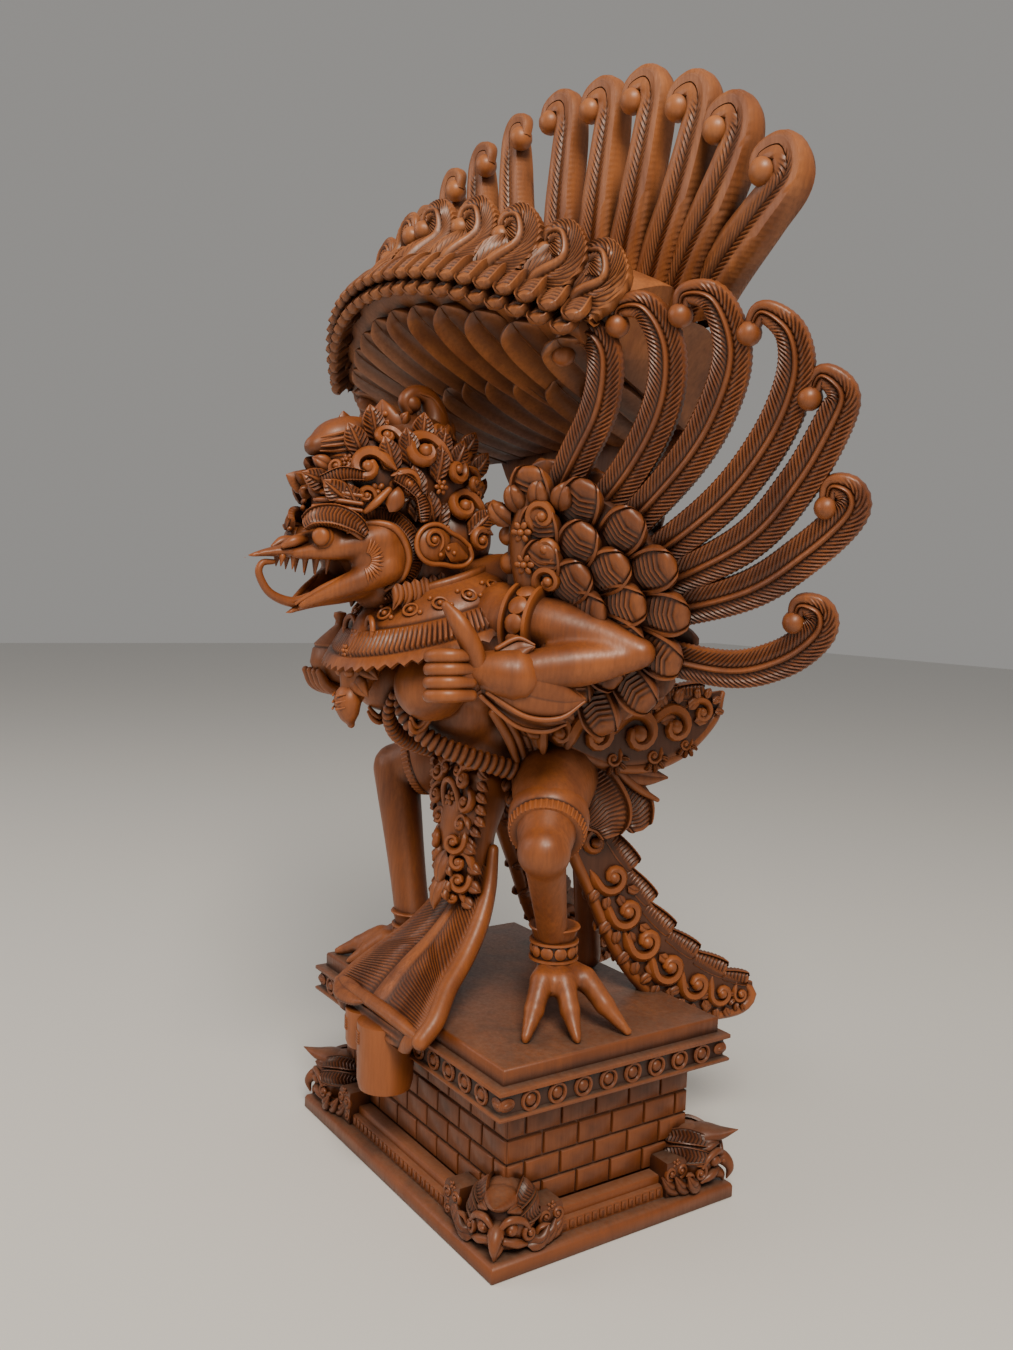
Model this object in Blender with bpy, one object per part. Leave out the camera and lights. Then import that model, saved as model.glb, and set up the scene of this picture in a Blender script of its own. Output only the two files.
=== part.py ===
"""Carved wooden statue of the bird deity Garuda, standing on a temple-like plinth.

The plinth, the figure, two wings and the tail are separate carvings, pegged together.
The figure faces -Y, its left hand is at +X, and the origin is the middle of the plinth's underside.
"""

import math

import bmesh
import bpy
from mathutils import Matrix, Vector

# Overall sizes, in metres
STATUE_HEIGHT = 0.495
PLINTH_WIDTH = 0.180
PLINTH_DEPTH = 0.132
PLINTH_HEIGHT = 0.084

# Levels and insets of the plinth
BASE_SLAB = 0.0074
WALL_INSET = 0.0160
UNDER_INSET = 0.0090
CORNICE_BOTTOM = 0.0635
CORNICE_TOP = 0.0767
CORNICE_INSET = 0.0030
TOP_INSET = 0.0072
COURSES = 4
BRICK_GROOVE = 0.0010
ROUNDEL = 0.0040
ROUNDEL_PITCH = 0.0125
HEAD_SIZE = 0.0165

# Fits
CLEARANCE = 0.0003
WING_THICKNESS = 0.0125
TAIL_THICKNESS = 0.0100

# A long wing feather's width, and its depth as a share of that
FEATHER_WIDTH = 0.0155
FEATHER_DEPTH = 0.62

# The figure is drawn in units of its own, with the ground that it stands on at GROUND and the tail's
# highest feather at CROWN, so its pose and carving are shares of its height.
GROUND = 0.467
CROWN = 2.750
UNIT = (STATUE_HEIGHT - PLINTH_HEIGHT) / (CROWN - GROUND)

# Faces that differ by less than FLAT are carved as one, and corners nearer than SLIVER too
FLAT = math.radians(6)
SLIVER = 0.00005

# The wings' own drawing plane: it turns back by WING_TURN from the side and leans forward by WING_LEAN
WING_ROOT = (0.280, -0.195, 1.600)
WING_TURN = math.radians(28)
WING_LEAN = math.radians(16)

for old in list(bpy.data.objects):
    bpy.data.objects.remove(old)
STATUE = bpy.data.collections.new("garuda_statue")
bpy.context.scene.collection.children.link(STATUE)
STOCK = bpy.data.collections.new("carving_stock")
bpy.context.scene.collection.children.link(STOCK)


def at(x, y, z):
    """A point of the figure's drawing, in metres."""
    return Vector((x * UNIT, y * UNIT, PLINTH_HEIGHT + (z - GROUND) * UNIT))


def wing_frame(side):
    """The matrix from a wing's own drawing, in metres along, up and towards its front, to the statue."""
    along = Vector((math.cos(WING_TURN), math.sin(WING_TURN), 0))
    up = Vector((math.sin(WING_TURN) * math.sin(WING_LEAN), -math.cos(WING_TURN) * math.sin(WING_LEAN),
                 math.cos(WING_LEAN)))
    frame = Matrix((along, up, along.cross(up))).transposed().to_4x4()
    frame.translation = at(*WING_ROOT)
    return Matrix.Diagonal((side, 1, 1, 1)) @ frame


def stock(name, mesh, matrix=Matrix()):
    """A raw piece of a carving, out of the render until it is joined."""
    mesh.transform(matrix)
    if matrix.determinant() < 0:
        mesh.flip_normals()
    obj = bpy.data.objects.new(name, mesh)
    obj.hide_render = True
    obj.display_type = "WIRE"
    STOCK.objects.link(obj)
    return obj


def tube(points, radii, sides=6, matrix=Matrix()):
    """A rod through the points, with a radius at each of them, in metres."""
    curve = bpy.data.curves.new("limb", "CURVE")
    curve.dimensions = "3D"
    curve.bevel_depth = 1
    curve.bevel_resolution = (sides - 4) // 2
    curve.use_fill_caps = True
    spline = curve.splines.new("POLY")
    spline.points.add(len(points) - 1)
    for point, place, radius in zip(spline.points, points, radii):
        point.co = (*place, 1)
        point.radius = radius
    obj = bpy.data.objects.new("limb", curve)
    bpy.context.scene.collection.objects.link(obj)
    graph = bpy.context.evaluated_depsgraph_get()
    mesh = bpy.data.meshes.new_from_object(obj.evaluated_get(graph))
    bpy.data.objects.remove(obj)
    solid = bmesh.new()
    solid.from_mesh(mesh)
    bmesh.ops.remove_doubles(solid, verts=solid.verts, dist=0.00001)
    bmesh.ops.recalc_face_normals(solid, faces=solid.faces)
    solid.to_mesh(mesh)
    solid.free()
    return stock("limb", mesh, matrix)


def limb(points, radii, side=1, **kinds):
    """A tube in the figure's drawing, on its left side, or on its right side with side -1."""
    return tube([at(x * side, y, z) for x, y, z in points], [r * UNIT for r in radii], **kinds)


def ball(centre, radii, turn=(0, 0, 0), segments=7, rings=4):
    """An ellipsoid, in metres."""
    solid = bmesh.new()
    matrix = Matrix.Translation(centre) @ Matrix.Rotation(turn[2], 4, "Z") @ Matrix.Rotation(turn[1], 4, "Y")
    matrix = matrix @ Matrix.Rotation(turn[0], 4, "X") @ Matrix.Diagonal((*radii, 1))
    bmesh.ops.create_uvsphere(solid, u_segments=segments, v_segments=rings, radius=1, matrix=matrix)
    mesh = bpy.data.meshes.new("ball")
    solid.to_mesh(mesh)
    solid.free()
    return stock("ball", mesh)


def lump(x, y, z, radii, **kinds):
    """An ellipsoid in the figure's drawing."""
    radii = radii if isinstance(radii, tuple) else (radii,) * 3
    return ball(at(x, y, z), [r * UNIT for r in radii], **kinds)


def block(centre, size, turn=0.0):
    """A rectangular block, in metres, turned about the vertical."""
    solid = bmesh.new()
    matrix = Matrix.Translation(centre) @ Matrix.Rotation(turn, 4, "Z") @ Matrix.Diagonal((*size, 1))
    bmesh.ops.create_cube(solid, size=1, matrix=matrix)
    mesh = bpy.data.meshes.new("block")
    solid.to_mesh(mesh)
    solid.free()
    return stock("block", mesh)


def drum(centre, radius, length, axis, sides=8):
    """A short cylinder about an axis, in metres."""
    solid = bmesh.new()
    matrix = Matrix.Translation(centre) @ Vector(axis).to_track_quat("Z", "Y").to_matrix().to_4x4()
    bmesh.ops.create_cone(solid, cap_ends=True, segments=sides, radius1=radius, radius2=radius * 0.8,
                          depth=length, matrix=matrix)
    mesh = bpy.data.meshes.new("drum")
    solid.to_mesh(mesh)
    solid.free()
    return stock("drum", mesh)


def plate(outline, thickness, matrix=Matrix()):
    """A flat board with this outline in its own XY plane, in metres."""
    curve = bpy.data.curves.new("board", "CURVE")
    curve.dimensions = "2D"
    curve.fill_mode = "BOTH"
    curve.extrude = thickness / 2
    spline = curve.splines.new("POLY")
    spline.points.add(len(outline) - 1)
    for point, place in zip(spline.points, outline):
        point.co = (*place, 0, 1)
    spline.use_cyclic_u = True
    obj = bpy.data.objects.new("board", curve)
    bpy.context.scene.collection.objects.link(obj)
    graph = bpy.context.evaluated_depsgraph_get()
    mesh = bpy.data.meshes.new_from_object(obj.evaluated_get(graph))
    bpy.data.objects.remove(obj)
    solid = bmesh.new()
    solid.from_mesh(mesh)
    bmesh.ops.remove_doubles(solid, verts=solid.verts, dist=0.00001)
    bmesh.ops.recalc_face_normals(solid, faces=solid.faces)
    solid.to_mesh(mesh)
    solid.free()
    return stock("board", mesh, matrix)


def hanging(side, start, heading, outline, thickness):
    """A cloth panel: a board in the upright plane through start that runs along heading, drawn in the
    figure's units along that plane and up."""
    along = Vector((heading[0], heading[1], 0)).normalized()
    up = Vector((0, 0, 1))
    frame = Matrix((along, up, along.cross(up))).transposed().to_4x4()
    frame.translation = at(start[0], start[1], GROUND)
    rows = [(s * UNIT, (z - GROUND) * UNIT) for s, z in outline]
    return plate(rows, thickness * UNIT, Matrix.Diagonal((side, 1, 1, 1)) @ frame)


def loft(rings):
    """A closed solid through rings of points, each ring closed and all with as many points."""
    solid = bmesh.new()
    rows = [[solid.verts.new(p) for p in ring] for ring in rings]
    count = len(rows[0])
    for low, high in zip(rows, rows[1:]):
        for i in range(count):
            j = (i + 1) % count
            solid.faces.new((low[i], low[j], high[j], high[i]))
    solid.faces.new(rows[0])
    solid.faces.new(rows[-1])
    bmesh.ops.recalc_face_normals(solid, faces=solid.faces)
    mesh = bpy.data.meshes.new("loft")
    solid.to_mesh(mesh)
    solid.free()
    return stock("loft", mesh)


def wood(name, colour, roughness):
    """A waxed wood with one colour."""
    made = bpy.data.materials.new(name)
    made.use_nodes = True
    shader = made.node_tree.nodes["Principled BSDF"]
    shader.inputs["Base Color"].default_value = (*colour, 1)
    shader.inputs["Roughness"].default_value = roughness
    shader.inputs["Metallic"].default_value = 0
    made.diffuse_color = (*colour, 1)
    return made


def combined(target, others, operation):
    """The target after one Boolean with all of the others, which are used up."""
    group = bpy.data.collections.new("tools")
    bpy.context.scene.collection.children.link(group)
    for other in others:
        group.objects.link(other)
    step = target.modifiers.new(operation.lower(), "BOOLEAN")
    step.operation = operation
    step.operand_type = "COLLECTION"
    step.collection = group
    step.solver = "EXACT"
    step.use_self = True
    graph = bpy.context.evaluated_depsgraph_get()
    mesh = bpy.data.meshes.new_from_object(target.evaluated_get(graph))
    for used in [target, *others]:
        bpy.data.objects.remove(used)
    bpy.data.collections.remove(group)
    return mesh


def without_flat_edges(mesh):
    """The mesh with nearly flat neighbouring faces made one."""
    obj = stock("blank", mesh)
    step = obj.modifiers.new("flatten", "DECIMATE")
    step.decimate_type = "DISSOLVE"
    step.angle_limit = FLAT
    graph = bpy.context.evaluated_depsgraph_get()
    found = bpy.data.meshes.new_from_object(obj.evaluated_get(graph))
    bpy.data.objects.remove(obj)
    solid = bmesh.new()
    solid.from_mesh(found)
    bmesh.ops.remove_doubles(solid, verts=solid.verts, dist=SLIVER)
    bmesh.ops.dissolve_degenerate(solid, edges=solid.edges, dist=SLIVER)
    solid.to_mesh(found)
    solid.free()
    return found


def carving(name, parts, cutters, material):
    """One solid named for its piece: its parts joined, then cut by the cutters."""
    mesh = combined(parts[0], parts[1:], "UNION")
    if cutters:
        mesh = combined(stock(name + "_blank", mesh), cutters, "DIFFERENCE")
    mesh = without_flat_edges(mesh)
    mesh.name = name
    mesh.materials.clear()
    mesh.materials.append(material)
    obj = bpy.data.objects.new(name, mesh)
    STATUE.objects.link(obj)
    mesh.shade_smooth()
    mesh.set_sharp_from_angle(angle=math.radians(40))
    return obj


def rectangle(inset, height):
    """A level of the plinth: four corners at this inset from its base."""
    x = PLINTH_WIDTH / 2 - inset
    y = PLINTH_DEPTH / 2 - inset
    return [Vector((i * x, j * y, height)) for i, j in ((-1, -1), (1, -1), (1, 1), (-1, 1))]


def plinth_levels():
    """The plinth's moulding from bottom to top, with a groove between the courses of bricks."""
    rows = [rectangle(0, 0), rectangle(0, BASE_SLAB * 0.7), rectangle(BASE_SLAB * 0.3, BASE_SLAB)]
    rows.append(rectangle(WALL_INSET, BASE_SLAB))
    course = (CORNICE_BOTTOM - BASE_SLAB) / (COURSES + 2)
    for number in range(2, COURSES + 2):
        level = BASE_SLAB + number * course
        rows += [rectangle(WALL_INSET, level - BRICK_GROOVE / 2), rectangle(WALL_INSET + BRICK_GROOVE, level),
                 rectangle(WALL_INSET, level + BRICK_GROOVE / 2)]
    band = (CORNICE_TOP - CORNICE_BOTTOM) / 6
    step = CORNICE_INSET
    rows += [rectangle(WALL_INSET, CORNICE_BOTTOM - 2 * band),
             rectangle(UNDER_INSET, CORNICE_BOTTOM - 1.5 * band),
             rectangle(UNDER_INSET, CORNICE_BOTTOM),
             rectangle(step, CORNICE_BOTTOM + band / 2),
             rectangle(step, CORNICE_BOTTOM + band),
             rectangle(step + band, CORNICE_BOTTOM + band * 1.2),
             rectangle(step + band, CORNICE_TOP - band * 1.2),
             rectangle(step, CORNICE_TOP - band),
             rectangle(step, CORNICE_TOP),
             rectangle(TOP_INSET, CORNICE_TOP),
             rectangle(TOP_INSET, PLINTH_HEIGHT)]
    return rows


def edges():
    """The plinth's four sides: the middle, the outward direction, the direction along and the half length."""
    x = PLINTH_WIDTH / 2
    y = PLINTH_DEPTH / 2
    return [(Vector((0, -y, 0)), Vector((0, -1, 0)), Vector((1, 0, 0)), x),
            (Vector((x, 0, 0)), Vector((1, 0, 0)), Vector((0, 1, 0)), y),
            (Vector((0, y, 0)), Vector((0, 1, 0)), Vector((-1, 0, 0)), x),
            (Vector((-x, 0, 0)), Vector((-1, 0, 0)), Vector((0, -1, 0)), y)]


def roundels(middle, out, along, half):
    """The row of bosses round one side of the cornice."""
    face = CORNICE_INSET + (CORNICE_TOP - CORNICE_BOTTOM) / 6
    level = (CORNICE_BOTTOM + CORNICE_TOP) / 2
    count = 2 * round((half - ROUNDEL_PITCH) / ROUNDEL_PITCH)
    pitch = 2 * (half - ROUNDEL_PITCH) / count
    for number in range(count):
        place = middle + along * (number + 0.5 - count / 2) * pitch - out * (face - 0.0004)
        place.z = level
        yield drum(place, ROUNDEL, 0.0036, out, sides=6)


def skirting(middle, out, along, half):
    """The stepped moulding at the foot of one wall, between two blocks with rolled fronts."""
    low = BASE_SLAB - CLEARANCE
    run = half - HEAD_SIZE * 1.1
    for reach, height in ((0.0060, 0.0090), (0.0095, 0.0060)):
        place = middle - out * (WALL_INSET - reach / 2) + Vector((0, 0, low + height / 2))
        size = along * 2 * run + out * reach
        yield block(place, (abs(size.x), abs(size.y), height))
    for end in (-1, 1):
        place = middle + along * end * run * 0.72 - out * (WALL_INSET - 0.0060)
        yield block(place + Vector((0, 0, low + 0.0080)), (0.0130, 0.0130, 0.0160))


def corner_head(x_side, y_side):
    """A guardian's head at one corner of the plinth: a domed brow with a swept crest, a beak and locks."""
    corner = Vector((x_side * (PLINTH_WIDTH / 2 - HEAD_SIZE * 0.95),
                     y_side * (PLINTH_DEPTH / 2 - HEAD_SIZE * 0.95), BASE_SLAB))
    out = Vector((x_side, y_side, 0)).normalized()
    across = Vector((-out.y, out.x, 0)) * HEAD_SIZE
    out = out * HEAD_SIZE
    up = Vector((0, 0, HEAD_SIZE))
    s = HEAD_SIZE
    yield ball(corner + up * 0.75, (s * 0.92, s * 0.92, s * 0.95), segments=8, rings=5)
    yield block(corner + up * 0.27, (s * 1.15, s * 1.15, s * 0.56))
    crest = [corner + up * 1.15, corner + out * 0.75 + up * 1.32, corner + out * 1.42 + up * 1.50]
    yield tube(crest, [s * 0.60, s * 0.42, s * 0.06])
    beak = [corner + out * 0.3 + up * 0.7, corner + out * 1.0 + up * 0.62, corner + out * 1.2 + up * 0.12]
    yield tube(beak, [s * 0.55, s * 0.38, s * 0.08])
    for end in (-1, 1):
        mane = [corner + across * end * 0.5 + up * 0.25,
                corner + out * 0.05 + across * end * 1.15 + up * 0.25,
                corner + out * 0.1 + across * end * 1.40 + up * 0.20]
        yield tube(mane, [s * 0.40, s * 0.36, s * 0.30], sides=4)


def plinth():
    """A stepped base, a brick wall, a cornice with bosses and a plain top, with a guardian at each corner."""
    parts = [loft(plinth_levels())]
    for side in edges():
        parts += [*roundels(*side), *skirting(*side)]
    for x_side in (-1, 1):
        for y_side in (-1, 1):
            parts += corner_head(x_side, y_side)
    return carving("plinth", parts, [], wood("plinth_wood", (0.33, 0.15, 0.07), 0.5))


def wing_blade(points, matrix, spare=0.0):
    """A long wing feather that ends in a hook with a round tip, drawn in the wing's plane, with spare
    metres added all round for the notch that clears it."""
    rows = [Vector((a * UNIT, b * UNIT, 0)) for a, b in points]
    shares = (1.0, 1.08, 1.05, 1.0, 0.85, 0.75, 0.9)
    radii = [FEATHER_WIDTH / 2 * share + spare / FEATHER_DEPTH for share in shares]
    flat = Matrix.Diagonal((1, 1, FEATHER_DEPTH, 1))
    return tube(rows, radii, sides=4, matrix=matrix @ flat)


WING_FEATHERS = (
    ((0.060, 0.080), (0.150, 0.225), (0.215, 0.335), (0.236, 0.440),
     (0.205, 0.492), (0.150, 0.485), (0.140, 0.450)),
    ((0.150, 0.060), (0.285, 0.210), (0.358, 0.335), (0.374, 0.450),
     (0.335, 0.530), (0.278, 0.535), (0.268, 0.500)),
    ((0.230, 0.040), (0.405, 0.215), (0.483, 0.335), (0.512, 0.440),
     (0.480, 0.535), (0.420, 0.550), (0.406, 0.510)),
    ((0.280, -0.020), (0.470, 0.122), (0.580, 0.250), (0.635, 0.370),
     (0.630, 0.460), (0.575, 0.505), (0.546, 0.465)),
    ((0.280, -0.080), (0.520, 0.040), (0.638, 0.165), (0.712, 0.290),
     (0.728, 0.345), (0.688, 0.378), (0.664, 0.335)),
    ((0.280, -0.130), (0.520, -0.063), (0.655, 0.025), (0.738, 0.105),
     (0.742, 0.150), (0.706, 0.162), (0.695, 0.118)),
    ((0.250, -0.205), (0.470, -0.240), (0.594, -0.210), (0.672, -0.148),
     (0.680, -0.100), (0.640, -0.086), (0.626, -0.126)),
)
WING_BOARD = ((-0.020, -0.200), (-0.045, -0.100), (-0.030, 0.050), (0.000, 0.140), (0.090, 0.150),
              (0.200, 0.155), (0.290, 0.100), (0.350, 0.020), (0.380, -0.070), (0.370, -0.170),
              (0.300, -0.235), (0.180, -0.300), (0.080, -0.260))


def wing(name, side):
    """A wing: a board of scale feathers behind a beaded leading strip, and seven open long feathers."""
    frame = wing_frame(side)
    board = [(a * UNIT, b * UNIT) for a, b in WING_BOARD]
    parts = [plate(board, WING_THICKNESS, frame)]
    for points in WING_FEATHERS:
        parts.append(wing_blade(points, frame))
    leading = ((0.040, -0.180), (0.015, -0.050), (0.015, 0.070), (0.050, 0.130))
    strip = [Vector((a * UNIT, b * UNIT, 0)) for a, b in leading]
    parts.append(tube(strip, [r * UNIT for r in (0.050, 0.052, 0.050, 0.030)], matrix=frame))
    scales = ((0.335, 0.040), (0.365, -0.060), (0.350, -0.160),
              (0.260, 0.110), (0.230, 0.000), (0.240, -0.110))
    for a, b in scales:
        bulge = frame @ Vector((a * UNIT, b * UNIT, 0))
        parts.append(ball(bulge, (0.060 * UNIT, 0.050 * UNIT, 0.060 * UNIT)))
    for b in (-0.080, 0.000, 0.065):
        bead = frame @ Vector((-0.022 * UNIT, b * UNIT, 0.010 * UNIT))
        parts.append(ball(bead, (0.032 * UNIT,) * 3, segments=6))
    return carving(name, parts, [], wood(name + "_wood", (0.36, 0.16, 0.075), 0.42))


def rim_point(s):
    """The front rim of the tail's canopy, for s from -1 at its right end to 1 at its left end."""
    q = s * s
    return (0.530 * s, -0.435 + 0.175 * q, 2.204 - 0.150 * q)


def stem_point(s):
    """The line across the tail where its plain stem ends and its feathers begin."""
    return (0.425 * s, 0.165 - 0.010 * s * s, 1.905 + 0.025 * (1 - s * s))


def tail_section(s):
    """A section of the canopy from the stem to the rim and back over the top, at share s across it."""
    stem = Vector(stem_point(s))
    rim = Vector(rim_point(s))
    lift = Vector((0, 0, 1))
    under = stem.lerp(rim, 0.55) - lift * 0.035 * (1 - s * s)
    lip = rim + Vector((0.02 * s, 0.015, 0.075))
    ridge = Vector((0.60 * s, -0.17 + 0.10 * s * s, 2.36 - 0.17 * s * s))
    valley = Vector((0.60 * s, -0.03, 2.30 - 0.17 * s * s))
    back = Vector((0.56 * s, 0.115, 2.26 - 0.16 * s * s))
    heel = stem + Vector((0.01 * s, 0.055, 0.02))
    return [at(*p) for p in (stem, under, rim, lip, ridge, valley, back, heel)]


def tail_stem():
    """The plain fan-shaped neck of the tail, from the tenon at the rump to the canopy."""
    levels = ((1.150, 0.050, 0.215), (1.350, 0.060, 0.212), (1.560, 0.085, 0.200), (1.700, 0.190, 0.190),
              (1.820, 0.330, 0.185), (1.945, 0.420, 0.190))
    half = TAIL_THICKNESS / 2 / UNIT
    rings = []
    for z, width, y in levels:
        deep = half if z < 1.6 else half * 1.25
        rings.append([at(-width, y - deep, z), at(0, y - deep, z), at(width, y - deep, z),
                      at(width, y + deep, z), at(0, y + deep, z), at(-width, y + deep, z)])
    return loft(rings)


def long_feather(x, height, out):
    """A tall tail feather from the back of the canopy, whose tip hooks towards the middle."""
    side = 1 if x > 0 else -1
    hook = -0.052 * side
    base = (x * 0.62, 0.060, 2.120)
    points = [base, (x * 0.80, 0.050 - out, 2.120 + (height - 2.120) * 0.38),
              (x * 0.97, 0.030 - out, 2.120 + (height - 2.120) * 0.72),
              (x + 0.020 * side, 0.010, height - 0.075), (x, 0.000, height - 0.022),
              (x + hook, -0.010, height - 0.030), (x + hook * 1.15, -0.015, height - 0.078)]
    return limb(points, [0.050, 0.058, 0.054, 0.045, 0.036, 0.032, 0.034], sides=4)


def short_feather(s):
    """A short feather that stands up from the rim in an S and hooks towards the middle."""
    side = 1 if s > 0 else -1
    x, y, z = rim_point(s)
    top = 2.425 - 0.190 * s * s
    tip = Vector((0.575 * s, -0.335 + 0.130 * s * s, top))
    points = [(x * 0.98, y + 0.050, z + 0.020), (x * 0.99 + 0.015 * side, y + 0.060, z + 0.090),
              (tip.x + 0.025 * side, tip.y + 0.010, top - 0.070), (tip.x, tip.y, top - 0.018),
              (tip.x - 0.045 * side, tip.y - 0.010, top - 0.030),
              (tip.x - 0.045 * side, tip.y - 0.012, top - 0.070)]
    return limb(points, [0.070, 0.062, 0.040, 0.030, 0.026, 0.028], sides=4)


TALL_FEATHERS = ((0.849, 2.434), (0.709, 2.555), (0.587, 2.637),
                 (0.432, 2.700), (0.277, 2.727), (0.111, CROWN))


def tail():
    """The tail that rises behind the wings and arches over the head as a canopy of feathers."""
    sections = [tail_section(number / 4) for number in range(-4, 5)]
    parts = [loft(sections), tail_stem()]
    for x, height in TALL_FEATHERS:
        parts += [long_feather(x, height, 0.02), long_feather(-x, height, 0.02)]
    for share in (0.13, 0.38, 0.60, 0.80, 0.96):
        parts += [short_feather(share), short_feather(-share)]
    notches = []
    for side in (1, -1):
        for points in WING_FEATHERS[:3]:
            notches.append(wing_blade(points, wing_frame(side), 2 * CLEARANCE))
    return carving("tail", parts, notches, wood("tail_wood", (0.40, 0.19, 0.09), 0.45))


def torso():
    """The leaning body with its breasts, shoulders, belt bands and thick neck."""
    yield lump(0, 0.100, 1.080, (0.190, 0.170, 0.160), segments=8, rings=6)
    yield lump(0, -0.080, 1.180, (0.175, 0.190, 0.160), segments=8, rings=6)
    yield lump(0, -0.170, 1.360, (0.240, 0.165, 0.190), turn=(-0.35, 0, 0), segments=10, rings=7)
    yield limb([(0, 0.020, 1.180), (0, 0.150, 1.300), (0, 0.120, 1.420)], [0.120, 0.110, 0.090])
    for side in (-1, 1):
        yield lump(0.115 * side, -0.345, 1.285, 0.090)
        yield lump(0.235 * side, -0.215, 1.455, (0.105, 0.095, 0.100))
        belt = [(0, -0.405, 1.195), (0.110, -0.385, 1.165), (0.180, -0.265, 1.110), (0.190, -0.110, 1.060)]
        yield limb(belt, [0.030, 0.034, 0.034, 0.030], side)
    yield limb([(0, -0.180, 1.420), (0, -0.290, 1.520), (0, -0.355, 1.640)], [0.150, 0.130, 0.130], sides=8)


def collar():
    """The broad collar that lies round the neck and on the breast, with a toothed edge and a pendant."""
    rings = []
    points = 16
    levels = ((0.130, 1.555, 0), (0.200, 1.515, 0), (0.285, 1.420, 1), (0.265, 1.385, 1), (0.120, 1.420, 0))
    for reach, level, toothed in levels:
        ring = []
        for number in range(points):
            angle = 2 * math.pi * number / points
            far = reach * (1.07 if toothed and number % 2 else 1.0)
            x = far * math.cos(angle)
            y = far * math.sin(angle) * 0.92
            ring.append(at(x, -0.265 + y, level + y * 0.35))
        rings.append(ring)
    yield loft(rings)
    yield limb([(0, -0.430, 1.400), (0, -0.480, 1.290), (0, -0.465, 1.200)], [0.075, 0.070, 0.020])


def head():
    """A bird's long beak under a demon's brow, with bulging eyes, teeth and a looping tongue."""
    yield lump(0, -0.350, 1.640, (0.125, 0.150, 0.120), segments=8, rings=6)
    upper = [(0, -0.420, 1.605), (0, -0.560, 1.615), (0, -0.680, 1.598), (0, -0.774, 1.580)]
    yield limb(upper, [0.095, 0.055, 0.026, 0.006])
    lower = [(0, -0.400, 1.545), (0, -0.500, 1.520), (0, -0.590, 1.490), (0, -0.656, 1.456)]
    yield limb(lower, [0.075, 0.045, 0.026, 0.006])
    tongue = [(0, -0.600, 1.500), (0, -0.657, 1.480), (0, -0.710, 1.484), (0, -0.737, 1.522),
              (0, -0.718, 1.558), (0, -0.685, 1.565)]
    yield limb(tongue, [0.018, 0.014, 0.012, 0.011, 0.010, 0.007], sides=4)
    for side in (-1, 1):
        yield lump(0.074 * side, -0.585, 1.636, (0.040, 0.045, 0.042))
        brow = [(0.030, -0.630, 1.690), (0.100, -0.560, 1.705), (0.130, -0.450, 1.680)]
        yield limb(brow, [0.022, 0.034, 0.028], side, sides=4)
        yield lump(0.092 * side, -0.430, 1.575, (0.050, 0.105, 0.080))
        ear = [(0.135, -0.400, 1.580), (0.160, -0.340, 1.610), (0.160, -0.330, 1.680)]
        yield limb(ear, [0.042, 0.050, 0.020], side)
        for number in range(3):
            tooth = -0.600 - 0.045 * number
            yield limb([(0.026, tooth, 1.590), (0.024, tooth - 0.006, 1.545)], [0.012, 0.003], side, sides=4)


def leaf(start, heading, length, width, thickness):
    """A pointed crest leaf: a board that stands up from start along heading."""
    up = Vector(heading).normalized()
    face = up.cross(Vector((1, 0, 0))) if abs(up.x) < 0.5 else up.cross(Vector((0, 1, 0)))
    across = face.cross(up).normalized()
    frame = Matrix((across, up, across.cross(up))).transposed().to_4x4()
    frame.translation = at(*start)
    outline = [(-0.5, -0.2), (0.5, -0.2), (0.6, 0.35), (0, 1), (-0.6, 0.35)]
    rows = [(x * width * UNIT, y * length * UNIT) for x, y in outline]
    return plate(rows, thickness * UNIT, frame)


def crown():
    """A tall headdress of stepped leaf crests, with a roll over the brow and a curl at the top."""
    cone = [(0, -0.350, 1.680), (0, -0.345, 1.780), (0, -0.320, 1.860), (0, -0.290, 1.930)]
    yield limb(cone, [0.150, 0.148, 0.110, 0.050], sides=8)
    yield lump(0, -0.245, 1.650, (0.120, 0.120, 0.125))
    yield limb([(0, -0.420, 1.800), (0, -0.520, 1.860), (0, -0.590, 1.850)], [0.085, 0.060, 0.045])
    yield limb([(0, -0.300, 1.900), (0, -0.285, 1.960), (0, -0.320, 1.990), (0, -0.350, 1.965)],
               [0.050, 0.036, 0.030, 0.030])
    yield leaf((0, -0.400, 1.850), (0, -0.15, 1), 0.150, 0.080, 0.040)
    for y, z, size in ((-0.560, 1.700, 0.120), (-0.460, 1.800, 0.130)):
        for side in (-1, 1):
            yield leaf((0.075 * side, y, z), (0.3 * side, -0.45, 1), size, 0.070, 0.040)
    for y, z in ((-0.160, 1.620), (-0.155, 1.740), (-0.210, 1.850)):
        yield leaf((0, y, z), (0, 0.55, 1), 0.130, 0.140, 0.050)
        for side in (-1, 1):
            yield leaf((0.100 * side, y - 0.075, z - 0.040), (0.5 * side, 0.35, 1), 0.130, 0.100, 0.045)


def arm(side):
    """One arm, bent back at the elbow, with an armlet, a flared cuff and a hand at the breast."""
    upper = [(0.230, -0.230, 1.460), (0.340, -0.195, 1.450), (0.450, -0.115, 1.420), (0.555, -0.060, 1.392)]
    yield limb(upper, [0.090, 0.080, 0.064, 0.034], side)
    lower = [(0.545, -0.070, 1.390), (0.470, -0.170, 1.365), (0.400, -0.270, 1.345), (0.335, -0.360, 1.335)]
    yield limb(lower, [0.038, 0.062, 0.056, 0.048], side)
    band = [(0.295, -0.212, 1.455), (0.352, -0.180, 1.446)]
    yield limb(band, [0.096, 0.092], side)
    cuff = [(0.350, -0.330, 1.315), (0.400, -0.235, 1.270), (0.440, -0.150, 1.245)]
    yield limb(cuff, [0.050, 0.062, 0.020], side)


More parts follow.
